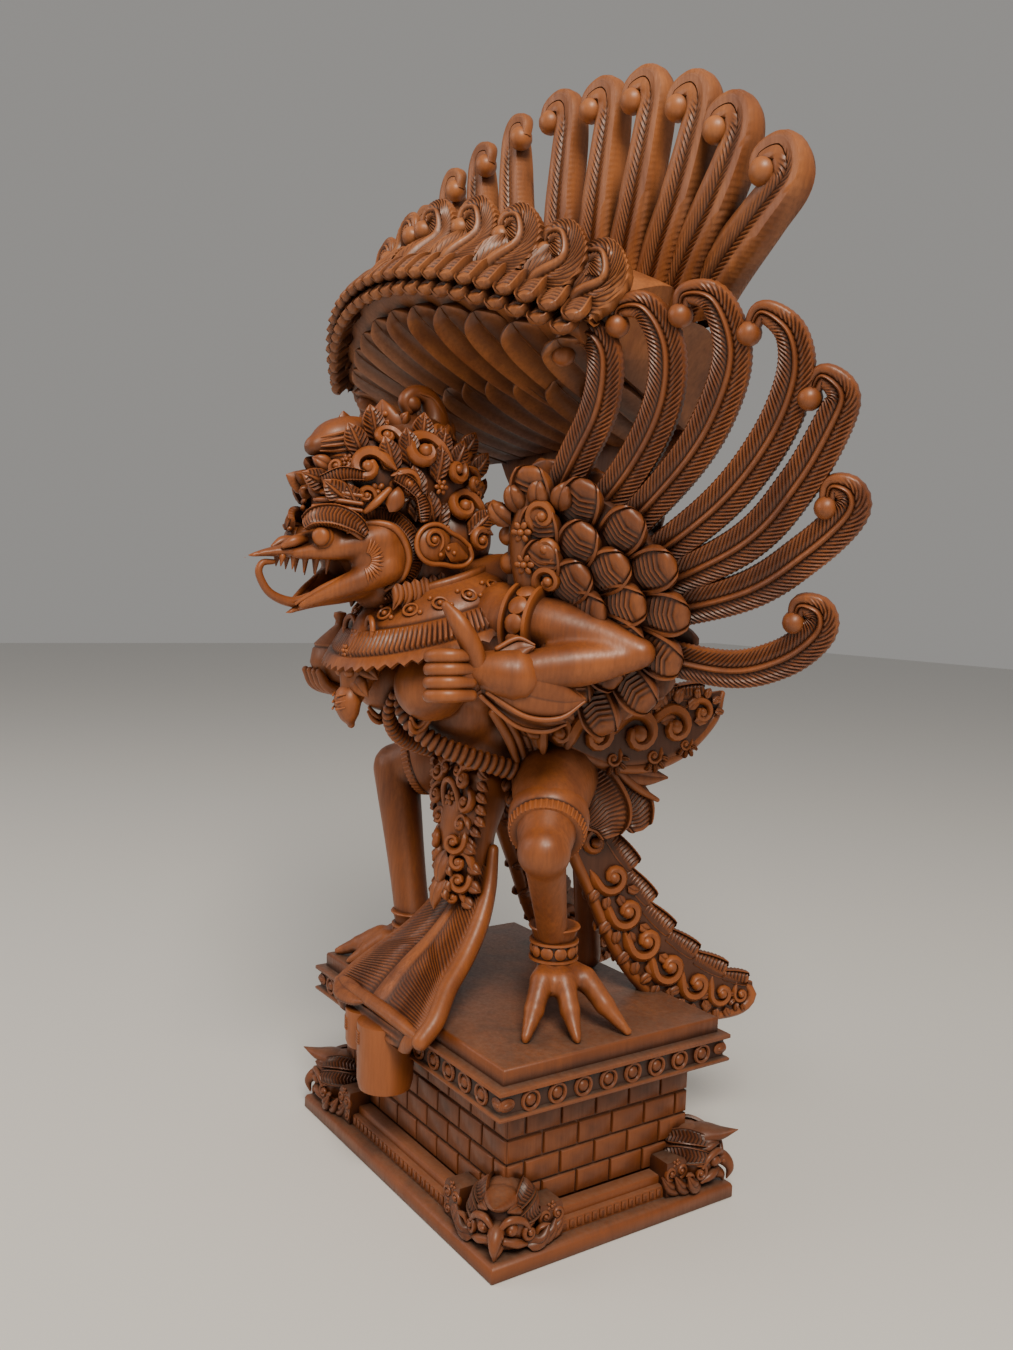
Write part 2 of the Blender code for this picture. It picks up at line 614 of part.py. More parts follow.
def left_hand():
    """The left fist before the breast, with its thumb up."""
    yield lump(0.325, -0.385, 1.330, (0.052, 0.062, 0.055))
    thumb = [(0.330, -0.370, 1.360), (0.340, -0.410, 1.410), (0.335, -0.430, 1.450)]
    yield limb(thumb, [0.026, 0.024, 0.014])
    for number in range(4):
        z = 1.365 - number * 0.027
        finger = [(0.345, -0.400, z), (0.325, -0.455, z), (0.285, -0.440, z - 0.006)]
        yield limb(finger, [0.018, 0.019, 0.014], sides=4)


def right_hand():
    """The right hand, which holds a round lidded pot of nectar."""
    yield lump(-0.320, -0.330, 1.300, (0.060, 0.055, 0.045))
    yield lump(-0.320, -0.372, 1.322, (0.078, 0.078, 0.070), segments=8, rings=6)
    lid = [(-0.320, -0.372, 1.370), (-0.320, -0.374, 1.405), (-0.320, -0.378, 1.432)]
    yield limb(lid, [0.042, 0.026, 0.010])
    for number in range(3):
        x = -0.350 + number * 0.030
        finger = [(x, -0.320, 1.270), (x, -0.395, 1.245), (x, -0.445, 1.275)]
        yield limb(finger, [0.018, 0.020, 0.013], sides=4)


def leg(side, knee, ankle, shin, toes):
    """One bent leg with a rolled thigh cuff, a round knee, an anklet and a clawed foot."""
    hip = Vector((0.120, 0.060, 1.080))
    knee = Vector(knee)
    ankle = Vector(ankle)
    yield limb([hip, hip.lerp(knee, 0.5) + Vector((0, 0, 0.03)), knee], [0.120, 0.105, 0.066], side)
    yield limb([hip.lerp(knee, 0.60), hip.lerp(knee, 0.80)], [0.100, 0.086], side)
    yield lump(knee.x * side, knee.y, knee.z, 0.070, segments=8, rings=5)
    yield limb([knee, knee.lerp(ankle, 0.3), knee.lerp(ankle, 0.7), ankle],
               [shin * 1.15, shin * 1.1, shin * 0.92, shin * 0.95], side)
    yield limb([ankle + Vector((0, 0, 0.035)), ankle - Vector((0, 0, 0.025))], [0.062, 0.066], side)
    heel = ankle - Vector((0, 0, 0.050))
    yield lump(heel.x * side, heel.y, heel.z, (0.046, 0.050, 0.044))
    for x, y in toes:
        tip = Vector((x, y, GROUND + 0.010))
        knuckle = heel.lerp(tip, 0.48) + Vector((0, 0, 0.030))
        yield limb([heel, knuckle, heel.lerp(tip, 0.78), tip], [0.036, 0.031, 0.023, 0.010], side, sides=4)
    spur = heel + Vector((-0.045, 0.075, 0))
    claw = Vector((spur.x - 0.015, spur.y + 0.030, GROUND + 0.012))
    yield limb([heel, spur, claw], [0.034, 0.026, 0.010], side, sides=4)


def hip_cloth(side):
    """The cloth at one hip: a scrolled scarf end, a pleated lappet and the long coat tail behind."""
    lobe = ((-0.060, 1.240), (0.050, 1.140), (0.210, 1.085), (0.350, 1.115),
            (0.450, 1.205), (0.470, 1.270), (0.290, 1.280), (0.100, 1.290))
    yield hanging(side, (0.225, -0.050), (0.2, 0.98), lobe, 0.050)
    lappet = ((-0.110, 1.170), (-0.040, 1.000), (0.070, 0.890), (0.210, 0.880), (0.270, 0.930),
              (0.270, 1.000), (0.190, 1.030), (0.100, 1.090), (0.020, 1.200))
    yield hanging(side, (0.200, 0.000), (0.25, 0.97), lappet, 0.060)
    coat = ((-0.080, 1.000), (-0.080, 0.900), (0.010, 0.720), (0.070, 0.600), (0.140, 0.500), (0.220, 0.420),
            (0.330, 0.382), (0.440, 0.380), (0.520, 0.435), (0.480, 0.490), (0.430, 0.500), (0.370, 0.545),
            (0.330, 0.550), (0.270, 0.620), (0.230, 0.640), (0.180, 0.740), (0.140, 0.770), (0.080, 0.850),
            (0.030, 0.950))
    yield hanging(side, (0.180, 0.130), (0.22, 0.97), coat, 0.040)


def skirt():
    """The cloth at the loins and the long sash that sweeps over the plinth's front edge."""
    yield lump(0, 0.100, 1.000, (0.200, 0.150, 0.110), segments=8, rings=5)
    apron = ((-0.115, 1.080), (-0.125, 0.960), (-0.085, 0.900), (-0.050, 0.850),
             (0.050, 0.850), (0.085, 0.900), (0.125, 0.960), (0.115, 1.080))
    along = Vector((1, 0, 0))
    up = Vector((0, 0.30, 1)).normalized()
    frame = Matrix((along, up, along.cross(up))).transposed().to_4x4()
    frame.translation = at(0, -0.170, GROUND + 0.55)
    rows = [(x * UNIT, (z - GROUND - 0.55) * UNIT) for x, z in apron]
    yield plate(rows, 0.070 * UNIT, frame)
    yield limb([(0, 0.000, 1.040), (0, -0.110, 0.960), (0, -0.130, 0.860), (0, -0.120, 0.760)],
               [0.110, 0.085, 0.080, 0.060])
    edge = PLINTH_DEPTH / 2 + 0.0060
    levels = ((0.840, 0.080, -0.120), (0.740, 0.100, -0.155), (0.650, 0.130, -0.215), (0.590, 0.160, -0.280),
              (0.540, 0.195, -0.345))
    rings = []
    for z, width, y in levels:
        rings.append(sash_ring(at(0, y, z), width * UNIT, 0.030 * UNIT))
    tip = at(0, 0, 0.475)
    tip.y = -edge
    rings.append(sash_ring(tip, 0.235 * UNIT, 0.040 * UNIT))
    low = tip + Vector((0, -0.0020, -0.0110))
    rings.append(sash_ring(low, 0.200 * UNIT, 0.034 * UNIT))
    yield loft(rings)
    drop = Vector((0.0030, 0.0010, 0))
    fold = [tip + drop + Vector((0, 0, level)) for level in (-0.004, -0.018, -0.028, -0.036)]
    yield tube(fold, [0.0135, 0.0135, 0.0120, 0.0095])


def sash_ring(centre, width, deep):
    """A section of the sash, whose middle rib stands forward of its edges."""
    shape = ((-1, 0.2), (-0.5, -0.7), (0, -1.2), (0.5, -0.7), (1, 0.2), (0.5, 0.8), (0, 0.9), (-0.5, 0.8))
    return [centre + Vector((x * width, y * deep * 0.7, -y * deep * 0.7)) for x, y in shape]


def post():
    """The prop behind the loins, a round post on a roughly squared foot."""
    foot = at(0, 0.262, GROUND)
    yield limb([(0, 0.120, 1.020), (0, 0.225, 0.900), (0, 0.255, 0.620), (0, 0.262, 0.520)],
               [0.060, 0.050, 0.038, 0.040])
    yield block(foot + Vector((0, 0, 0.045 * UNIT)), (0.085 * UNIT, 0.075 * UNIT, 0.100 * UNIT), turn=0.15)


def figure_cutters():
    """What the figure is cut by: the plinth under it, and the slots of the wings and the tail."""
    top = PLINTH_HEIGHT + CLEARANCE
    width = PLINTH_WIDTH - 2 * CORNICE_INSET + 2 * CLEARANCE
    depth = PLINTH_DEPTH - 2 * CORNICE_INSET + 2 * CLEARANCE
    yield block((0, 0, top / 2), (width, depth, top))
    for side in (-1, 1):
        frame = wing_frame(side)
        deep = WING_THICKNESS * 1.55 + 2 * CLEARANCE
        slot = ((-0.075, -0.330), (0.480, -0.330), (0.480, 0.300), (-0.075, 0.300))
        yield plate([(a * UNIT, b * UNIT) for a, b in slot], deep, frame)
    gap = 2 * CLEARANCE / UNIT
    half = TAIL_THICKNESS / UNIT
    yield block(at(0, 0.213, 1.450), ((0.190 + gap) * UNIT, (half * 1.5 + gap) * UNIT, 0.620 * UNIT))


def figure():
    """The deity itself, carved in one piece with its crown, cloth, pot and prop."""
    parts = [*torso(), *collar(), *head(), *crown(), *left_hand(), *right_hand(), *skirt(), *post()]
    for side in (-1, 1):
        parts += [*arm(side), *hip_cloth(side)]
    parts += leg(1, (0.365, -0.170, 0.920), (0.250, -0.045, 0.650), 0.046,
                 ((0.359, -0.199), (0.418, -0.092), (0.438, 0.044)))
    parts += leg(-1, (0.370, -0.165, 1.010), (0.230, -0.172, 0.580), 0.058,
                 ((0.340, -0.310), (0.430, -0.305), (0.440, -0.190)))
    return carving("figure", parts, list(figure_cutters()), wood("figure_wood", (0.38, 0.17, 0.08), 0.4))


plinth()
figure()
wing("wing_left", 1)
wing("wing_right", -1)
tail()
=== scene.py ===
"""Looks of the carved wooden garuda statue: its carved surfaces as meshes, the waxed wood, camera and light

The figure faces -Y with its left hand at +X. Its carving is drawn in units of its own, which at() turns into
metres.
"""

import math

import bmesh
import bpy
import numpy as np
from mathutils import Matrix, Vector
from mathutils.bvhtree import BVHTree


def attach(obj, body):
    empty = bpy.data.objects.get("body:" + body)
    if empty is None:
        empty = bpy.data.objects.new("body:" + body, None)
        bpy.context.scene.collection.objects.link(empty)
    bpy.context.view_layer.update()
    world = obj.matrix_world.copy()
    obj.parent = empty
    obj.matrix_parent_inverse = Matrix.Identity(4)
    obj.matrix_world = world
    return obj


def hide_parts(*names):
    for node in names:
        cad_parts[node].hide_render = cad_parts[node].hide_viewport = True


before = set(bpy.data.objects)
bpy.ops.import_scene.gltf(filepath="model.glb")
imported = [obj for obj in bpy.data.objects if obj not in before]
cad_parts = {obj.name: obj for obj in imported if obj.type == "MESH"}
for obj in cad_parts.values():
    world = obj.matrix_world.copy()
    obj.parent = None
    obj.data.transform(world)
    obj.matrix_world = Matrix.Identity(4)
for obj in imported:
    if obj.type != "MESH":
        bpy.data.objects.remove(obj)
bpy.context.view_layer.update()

# Sizes shared with the solids, in metres
STATUE_HEIGHT = 0.495
PLINTH_WIDTH = 0.180
PLINTH_DEPTH = 0.132
PLINTH_HEIGHT = 0.084
BASE_SLAB = 0.0074
WALL_INSET = 0.0160
UNDER_INSET = 0.0090
CORNICE_BOTTOM = 0.0635
CORNICE_TOP = 0.0767
CORNICE_INSET = 0.0030
TOP_INSET = 0.0072
COURSES = 4
ROUNDEL = 0.0040
ROUNDEL_PITCH = 0.0125
HEAD_SIZE = 0.0165
WING_THICKNESS = 0.0125
TAIL_THICKNESS = 0.0100
FEATHER_WIDTH = 0.0155
FEATHER_DEPTH = 0.62

# The figure's own drawing, in units with the ground at GROUND and the highest feather at CROWN, and where the
# wings' drawing plane starts in it, turns back from the side and leans forward
GROUND = 0.467
CROWN = 2.750
UNIT = (STATUE_HEIGHT - PLINTH_HEIGHT) / (CROWN - GROUND)
WING_ROOT = (0.280, -0.195, 1.600)
WING_TURN = math.radians(28)
WING_LEAN = math.radians(16)

# Carving tools: the spacing and depth of the barbs cut into feathers, in metres
WING_BARB = 0.0021
TAIL_BARB = 0.0026
BARB_DEPTH = 0.0007

# The thinnest that a form gets, how near points are welded, and the angle from which an edge is sharp
THIN = 0.00005
WELD = 0.000015
SHARP = math.radians(50)

# The photograph's camera: its picture and focal length in pixels, and its place in drawing units
PHOTO_SIZE = (1013, 1350)
PHOTO_FOCAL = 1150
CAMERA_PLACE = (2.491, -1.723, 1.539)
CAMERA_AZIMUTH = math.radians(56.06)
CAMERA_ELEVATION = math.radians(4.55)
CAMERA_ROLL = math.radians(2.0)


def at(x, y, z):
    """A point of the figure's drawing, in metres."""
    return Vector((x * UNIT, y * UNIT, PLINTH_HEIGHT + (z - GROUND) * UNIT))


def units(*lengths):
    """Lengths of the drawing, in metres."""
    return [length * UNIT for length in lengths]


def wing_frame(side):
    """The matrix to the statue from a wing's own drawing, in metres along it, up it and towards its front."""
    along = Vector((math.cos(WING_TURN), math.sin(WING_TURN), 0))
    up = Vector((math.sin(WING_TURN) * math.sin(WING_LEAN),
                 -math.cos(WING_TURN) * math.sin(WING_LEAN), math.cos(WING_LEAN)))
    made = Matrix((along, up, along.cross(up))).transposed().to_4x4()
    made.translation = at(*WING_ROOT)
    return Matrix.Diagonal((side, 1, 1, 1)) @ made


def unit(rows):
    """Each row of an array at length one."""
    rows = np.asarray(rows, float)
    return rows / np.maximum(np.linalg.norm(rows, axis=-1, keepdims=True), 1e-12)


def ease(low, high, values):
    """0 below low, 1 above high, and a smooth step between them."""
    share = np.clip((np.asarray(values, float) - low) / (high - low), 0, 1)
    return share * share * (3 - 2 * share)


def smooth_rows(rows, count):
    """Count rows evenly spaced along a smooth curve through the given rows. Only the first three columns
    measure its length, so further columns can hold a radius."""
    rows = np.array([list(row) for row in rows], float)
    padded = np.vstack([2 * rows[0] - rows[1], rows, 2 * rows[-1] - rows[-2]])
    found = []
    steps = 24
    for a, b, c, d in zip(padded, padded[1:], padded[2:], padded[3:]):
        t = np.arange(steps)[:, None] / steps
        found.append(0.5 * (2 * b + (c - a) * t + (2 * a - 5 * b + 4 * c - d) * t ** 2
                            + (3 * b - a - 3 * c + d) * t ** 3))
    fine = np.vstack([*found, rows[-1:]])
    gone = np.concatenate([[0], np.cumsum(np.linalg.norm(np.diff(fine[:, :3], axis=0), axis=1))])
    wanted = np.linspace(0, gone[-1], count)
    return np.stack([np.interp(wanted, gone, fine[:, k]) for k in range(fine.shape[1])], axis=1)


class Carving:
    """Surfaces gathered for one piece, and each point's height in its relief, 0 in a cut and 1 on a crest,
    which the wood turns into painted shade in the cuts.
    """

    def __init__(self):
        self.points = []
        self.relief = []
        self.faces = []
        self.count = 0

    def add(self, points, relief, faces):
        """Points, their relief and faces of three or four numbers each."""
        points = np.asarray(points, float).reshape(-1, 3)
        faces = np.asarray(faces, int)
        self.points.append(points)
        self.relief.append(np.broadcast_to(np.asarray(relief, float).reshape(-1), (len(points),)))
        self.faces.append(faces + self.count)
        self.count += len(points)

    def grid(self, points, relief=1.0, ring=False, caps=False):
        """A sheet of rows and columns. A ring closes each row on itself, and caps close its two ends."""
        points = np.asarray(points, float)
        rows, columns = points.shape[:2]
        relief = np.broadcast_to(np.asarray(relief, float), (rows, columns))
        index = np.arange(rows * columns).reshape(rows, columns)
        if ring:
            index = np.hstack([index, index[:, :1]])
        quads = np.stack([index[:-1, :-1], index[:-1, 1:], index[1:, 1:], index[1:, :-1]], axis=-1)
        start = self.count
        self.add(points, relief, quads.reshape(-1, 4))
        if caps:
            for row, turned in ((index[0, :-1], True), (index[-1, :-1], False)):
                middle = self.count
                self.add(points.reshape(-1, 3)[row].mean(0), relief.reshape(-1)[row].mean(),
                         np.zeros((0, 3), int))
                edge = row + start
                after = np.roll(edge, -1)
                fan = np.stack([np.full_like(edge, middle), edge, after], axis=-1)
                self.faces.append(fan[:, ::-1] if turned else fan)

    def mesh(self, name, mirrored=False):
        """The gathered surfaces as one mesh."""
        points = np.vstack(self.points)
        faces = [tuple(face) for block in self.faces for face in block.tolist()]
        if mirrored:
            points = points * (-1, 1, 1)
            faces = [face[::-1] for face in faces]
        mesh = bpy.data.meshes.new(name)
        mesh.from_pydata(points.tolist(), [], faces)
        return mesh

    def made(self, name, material, node, mirrored=False):
        """The piece as an object that rides on the statue and stands for a solid."""
        mesh = self.mesh(name, mirrored)
        keep_relief(mesh, np.concatenate(self.relief))
        return placed(name, mesh, material, node)


def keep_relief(mesh, values):
    """Stores how high each point of a mesh stands in its relief, for the wood to paint the low points darker
    as shade.
    """
    kept = mesh.attributes.get("relief") or mesh.attributes.new("relief", "FLOAT", "POINT")
    kept.data.foreach_set("value", np.asarray(values, np.float32))


def carved(build, *given):
    """The carving that a piece's function makes."""
    carving = Carving()
    build(carving, *given)
    return carving


def placed(name, mesh, material, node):
    """A mesh as an object, cleaned of doubled points and shaded smooth, that stands for one of the solids."""
    solid = bmesh.new()
    solid.from_mesh(mesh)
    bmesh.ops.remove_doubles(solid, verts=solid.verts, dist=WELD)
    bmesh.ops.dissolve_degenerate(solid, edges=solid.edges, dist=WELD / 3)
    solid.to_mesh(mesh)
    solid.free()
    mesh.materials.clear()
    mesh.materials.append(material)
    mesh.shade_smooth()
    mesh.set_sharp_from_angle(angle=SHARP)
    obj = bpy.data.objects.new(name, mesh)
    bpy.context.scene.collection.objects.link(obj)
    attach(obj, "root")
    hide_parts(node)
    return obj


def heading(degrees, first, second):
    """The direction at an angle from the first axis towards the second."""
    turn = math.radians(degrees)
    return math.cos(turn) * np.asarray(first) + math.sin(turn) * np.asarray(second)


def circle(centre, first, second, radius, count):
    """Points round a circle in the plane of two axes, the last one on the first."""
    return [centre + (math.cos(t) * first + math.sin(t) * second) * radius
            for t in np.linspace(0, 2 * math.pi, count)]


def frames(line, hint):
    """Unit tangents, sides and fronts along a line, the fronts as near to hint as the line lets them be."""
    tangent = unit(np.gradient(line, axis=0))
    side = unit(np.cross(np.broadcast_to(np.asarray(hint, float), line.shape), tangent))
    return tangent, side, np.cross(tangent, side)


def steady_frames(line):
    """Unit tangents, sides and fronts along a line, which turn as little as they can."""
    tangent = unit(np.gradient(line, axis=0))
    start = np.eye(3)[np.argmin(np.abs(tangent[0]))]
    side = [unit(np.cross(start, tangent[0]))]
    for step in tangent[1:]:
        side.append(unit(side[-1] - np.dot(side[-1], step) * step))
    side = np.array(side)
    return tangent, side, np.cross(tangent, side)


def rod(carving, points, radii, sides=10, count=24, hint=None, flat=1.0, relief=1.0, ends=True):
    """A round rod along a smooth curve, with a radius at each point, flattened towards a hint if given."""
    rows = smooth_rows([(*p, r) for p, r in zip(points, radii)], count)
    line = rows[:, :3]
    radius = np.maximum(rows[:, 3], THIN)
    tangent, side, front = steady_frames(line) if hint is None else frames(line, hint)
    if ends:
        turns = np.radians([80, 55, 28])
        first = [line[0] - tangent[0] * radius[0] * math.sin(t) for t in turns]
        last = [line[-1] + tangent[-1] * radius[-1] * math.sin(t) for t in turns[::-1]]
        line = np.vstack([first, line, last])
        radius = np.concatenate([radius[0] * np.cos(turns), radius, radius[-1] * np.cos(turns[::-1])])
        side = np.vstack([side[:1]] * 3 + [side] + [side[-1:]] * 3)
        front = np.vstack([front[:1]] * 3 + [front] + [front[-1:]] * 3)
    angles = np.arange(sides) * 2 * math.pi / sides
    across = np.cos(angles)[None, :, None] * side[:, None]
    over = np.sin(angles)[None, :, None] * front[:, None] * flat
    carving.grid(line[:, None] + (across + over) * radius[:, None, None], relief, ring=True, caps=True)


def ball(carving, centre, radii, columns=10, rows=7, axes=None, relief=1.0):
    """An ellipsoid, its radii along the given axes."""
    radii = np.broadcast_to(np.asarray(radii, float), (3,))
    axes = np.eye(3) if axes is None else np.asarray(axes, float)
    rise = np.linspace(-math.pi / 2 + 0.12, math.pi / 2 - 0.12, rows)
    turn = np.arange(columns) * 2 * math.pi / columns
    shape = np.stack([np.cos(rise)[:, None] * np.cos(turn), np.cos(rise)[:, None] * np.sin(turn),
                      np.broadcast_to(np.sin(rise)[:, None], (rows, columns))], axis=-1)
    carving.grid(np.asarray(centre, float) + (shape * radii) @ axes, relief, ring=True, caps=True)


def facing(face, toward=(0, 0, 1)):
    """Three unit axes: across, up and the face itself, up as near to toward as it can be."""
    face = unit(face)
    across = np.cross(toward, face)
    if np.linalg.norm(across) < 1e-3:
        across = np.cross((0, 1, 0), face)
    across = unit(across)
    return np.array([across, np.cross(face, across), face])


# Sections across a blade from its middle to its edge: how far out, how high, how high its relief reads for
# the painted shade in cuts, and how much of the barbs' depth is cut there
VANE = ((0.00, 1.00, 1.00, 0.0), (0.10, 0.90, 0.95, 0.0), (0.16, 0.52, 0.10, 0.0), (0.25, 0.70, 0.85, 1.0),
        (0.52, 0.80, 0.90, 1.0), (0.80, 0.70, 0.90, 1.0), (0.93, 0.56, 1.00, 0.3), (1.00, 0.34, 0.80, 0.0))
SCALE = ((0.00, 0.86, 0.80, 1.0), (0.30, 0.84, 0.85, 1.0), (0.60, 0.74, 0.80, 1.0), (0.72, 0.60, 0.45, 0.8),
         (0.77, 0.48, 0.08, 0.0), (0.82, 0.92, 1.00, 0.0), (0.94, 0.86, 1.00, 0.0), (1.00, 0.20, 0.60, 0.0))
LEAF = ((0.00, 0.78, 0.35, 0.0), (0.09, 0.86, 0.80, 0.0), (0.45, 1.00, 1.00, 0.0), (0.80, 0.80, 0.90, 0.0),
        (1.00, 0.25, 0.40, 0.0))
SHINGLE = ((0.00, 0.95, 0.50, 0.0), (0.06, 0.70, 0.20, 0.0), (0.50, 0.80, 0.45, 0.0), (0.84, 1.00, 0.80, 0.0),
           (0.93, 0.90, 0.85, 0.0), (1.00, 0.20, 0.10, 0.0))
FISHBONE = ((0.00, 0.62, 0.05, 0.0), (0.05, 0.84, 0.90, 1.0), (0.30, 0.92, 0.92, 1.0),
            (0.46, 0.96, 1.00, 0.4), (0.56, 1.00, 1.00, 0.0), (0.86, 0.88, 1.00, 0.0),
            (1.00, 0.40, 0.80, 0.0))
GROUND_SHEET = ((0.00, 1.00, 0.20, 0.0), (0.80, 0.98, 0.20, 0.0), (0.95, 0.90, 0.70, 0.0),
                (1.00, 0.30, 0.70, 0.0))
PLAIN = ((0.00, 1.00, 1.00, 0.0), (0.45, 0.96, 1.00, 0.0), (0.80, 0.76, 1.00, 0.0), (1.00, 0.25, 0.80, 0.0))


def blade(carving, points, widths, face, thick, barb=None, section=VANE, slope=1.0, depth=BARB_DEPTH,
          bare=1.0, teeth=0.07, back=0, count=24):
    """A feather, leaf or cloth end along a smooth line, with a half-width at each point. Its front looks
    along face. Barbs are cut slanting to both sides at this spacing, and fade out after the share bare
    of its length."""
    fine = smooth_rows([(*p, w) for p, w in zip(points, widths)], 160)
    line, half = fine[:, :3], np.maximum(fine[:, 3], THIN)
    side, front = frames(line, face)[1:]
    gone = np.concatenate([[0], np.cumsum(np.linalg.norm(np.diff(line, axis=0), axis=1))])
    length = gone[-1]
    if barb:
        number = max(2, round(length / barb))
        start = np.append((np.arange(number)[:, None] + np.array([0, 0.45])).ravel() * length / number,
                          length)
        cut = np.append(np.tile([1.0, 0.0], number), 0)
    else:
        start = np.linspace(0, length, count)
        cut = np.zeros(count)
    width = np.interp(start, gone, half)
    columns = [(-1, row, 1) for row in section[:0:-1]] + [(1, row, 1) for row in section]
    behind = section if back else (section[0], section[len(section) // 2], section[-1])
    columns += [(1, row, -1) for row in behind[::-1]] + [(-1, row, -1) for row in behind[1:]]
    sheet = []
    marks = []
    for hand, (out, high, reads, carved), way in columns:
        shift = np.minimum(slope * out * width, 0.45 * out * (length - start))
        place = start + shift
        here = np.stack([np.interp(place, gone, line[:, k]) for k in range(3)], axis=1)
        across = unit(np.stack([np.interp(place, gone, side[:, k]) for k in range(3)], axis=1))
        ahead = unit(np.stack([np.interp(place, gone, front[:, k]) for k in range(3)], axis=1))
        fade = 1 - ease(bare - 0.12, bare, place / length) if barb and bare < 1 else 1.0
        cuts = cut * fade
        wide = np.interp(place, gone, half)
        tall = thick / 2 * (high if way > 0 else high * 0.85) * np.minimum(1, wide / half.max() * 1.6)
        tall = tall - np.minimum(depth * (1 if way > 0 else back) * carved * cuts, tall * 0.7)
        reach = hand * out * wide * (1 - teeth * cuts * ease(0.9, 1.0, out))
        sheet.append(here + across * reach[:, None] + ahead * (way * tall)[:, None])
        # The barb cuts and low sections get a low relief, which the wood paints darker as shade.
        if way > 0:
            marks.append(reads * (1 - 0.92 * carved * cuts))
        else:
            marks.append(0.3 + 0.7 * reads * (1 - 0.8 * carved * cuts))
    carving.grid(np.stack(sheet, axis=1), np.stack(marks, axis=1), ring=True, caps=True)


def curl(carving, centre, face, toward, size, turns=1.0, thick=0.34, hand=1, rise=0.25, ball_share=0.36,
         stem=0.9):
    """A scroll like a comma: its stem swells, winds in round its centre from toward, and ends in a ball."""
    face = unit(face)
    u = unit(np.asarray(toward, float) - np.dot(toward, face) * face)
    v = np.cross(face, u) * hand
    share = np.linspace(0, 1, int(10 * turns) + 4)[:, None]
    angle = share * turns * 2 * math.pi
    reach = size * (1 - 0.70 * share ** 0.85)
    line = centre + reach * (np.cos(angle) * u + np.sin(angle) * v) + face * size * rise * share
    radii = size * thick * (1 - 0.40 * share[:, 0])
    if stem:
        lead = np.array([1.0, 0.65, 0.3])[:, None] * stem * size
        line = np.vstack([centre + u * (size + 0.18 * lead) - v * lead, line])
        radii = np.concatenate([size * thick * np.array([0.25, 0.65, 0.92]), radii])
    rod(carving, line, radii, sides=7, count=len(line) + 3, hint=face, flat=1.15)
    ball(carving, centre + face * size * rise, size * ball_share, 9, 6, facing(face, u))


def flower(carving, centre, face, size, petals=6):
    """A round rosette of petals with a boss in its middle."""
    axes = facing(face)
    for number in range(petals):
        out = heading(360 * number / petals, *axes[:2])
        ball(carving, centre + out * size * 0.62, (size * 0.40, size * 0.30, size * 0.22), 8, 6,
             np.array([out, np.cross(axes[2], out), axes[2]]))
    ball(carving, centre + axes[2] * size * 0.12, size * 0.34, 8, 6, axes)


def board(carving, outline, plane, thick, count=72, edge=0.0010):
    """A flat board with rounded edges, its outline drawn in the plane of a matrix."""
    closed = [(*p, 0) for p in outline]
    ring = smooth_rows(closed + closed[:1], count + 1)[:-1, :2]
    middle = ring.mean(0)
    inward = unit(middle - ring) * edge
    rows = []
    for share, height in ((0.02, -0.5), (0.6, -0.5), (None, -0.5), (1.0, -0.3), (1.0, 0.3), (None, 0.5),
                          (0.6, 0.5), (0.02, 0.5)):
        flat = ring + inward if share is None else middle + (ring - middle) * share
        rows.append(np.hstack([flat, np.full((count, 1), height * thick)]))
    sheet = np.stack(rows) @ np.array(plane.to_3x3()).T + np.array(plane.translation)
    # Painted shade: the board behind the feathers gets a low relief, so the wood paints it dark as shade
    # between them.
    carving.grid(sheet, 0.25, ring=True, caps=True)


WING_FEATHERS = (((0.060, 0.080), (0.150, 0.225), (0.215, 0.335), (0.236, 0.440), (0.205, 0.492),
                  (0.150, 0.485), (0.140, 0.450)),
                 ((0.150, 0.060), (0.285, 0.210), (0.358, 0.335), (0.374, 0.450), (0.335, 0.530),
                  (0.278, 0.535), (0.268, 0.500)),
                 ((0.230, 0.040), (0.405, 0.215), (0.483, 0.335), (0.512, 0.440), (0.480, 0.535),
                  (0.420, 0.550), (0.406, 0.510)),
                 ((0.280, -0.020), (0.470, 0.122), (0.580, 0.250), (0.635, 0.370), (0.630, 0.460),
                  (0.575, 0.505), (0.546, 0.465)),
                 ((0.280, -0.080), (0.520, 0.040), (0.638, 0.165), (0.712, 0.290), (0.727, 0.345),
                  (0.688, 0.378), (0.664, 0.335)),
                 ((0.280, -0.130), (0.520, -0.063), (0.655, 0.025), (0.738, 0.105), (0.742, 0.150),
                  (0.706, 0.162), (0.695, 0.118)),
                 ((0.250, -0.205), (0.470, -0.240), (0.594, -0.210), (0.672, -0.148), (0.680, -0.100),
                  (0.640, -0.086), (0.626, -0.126)))
WING_BOARD = ((-0.020, -0.200), (-0.045, -0.100), (-0.030, 0.050), (0.000, 0.140), (0.090, 0.150),
              (0.200, 0.155), (0.290, 0.100), (0.350, 0.020), (0.380, -0.070), (0.370, -0.170),
              (0.300, -0.235), (0.180, -0.300), (0.080, -0.260))

# A scale feather's length and half-width, in drawing units
SCALE_LENGTH = 0.150
SCALE_WIDTH = 0.053


def in_wing(a, b, c=0.0):
    """A point of the left wing's drawing: along it, up it and in front of it."""
    return np.array(wing_frame(1) @ Vector((a * UNIT, b * UNIT, c * UNIT)))


def wing_direction(a, b, c=0.0):
    """A direction in the left wing's drawing."""
    return unit(in_wing(a, b, c) - in_wing(0, 0, 0))


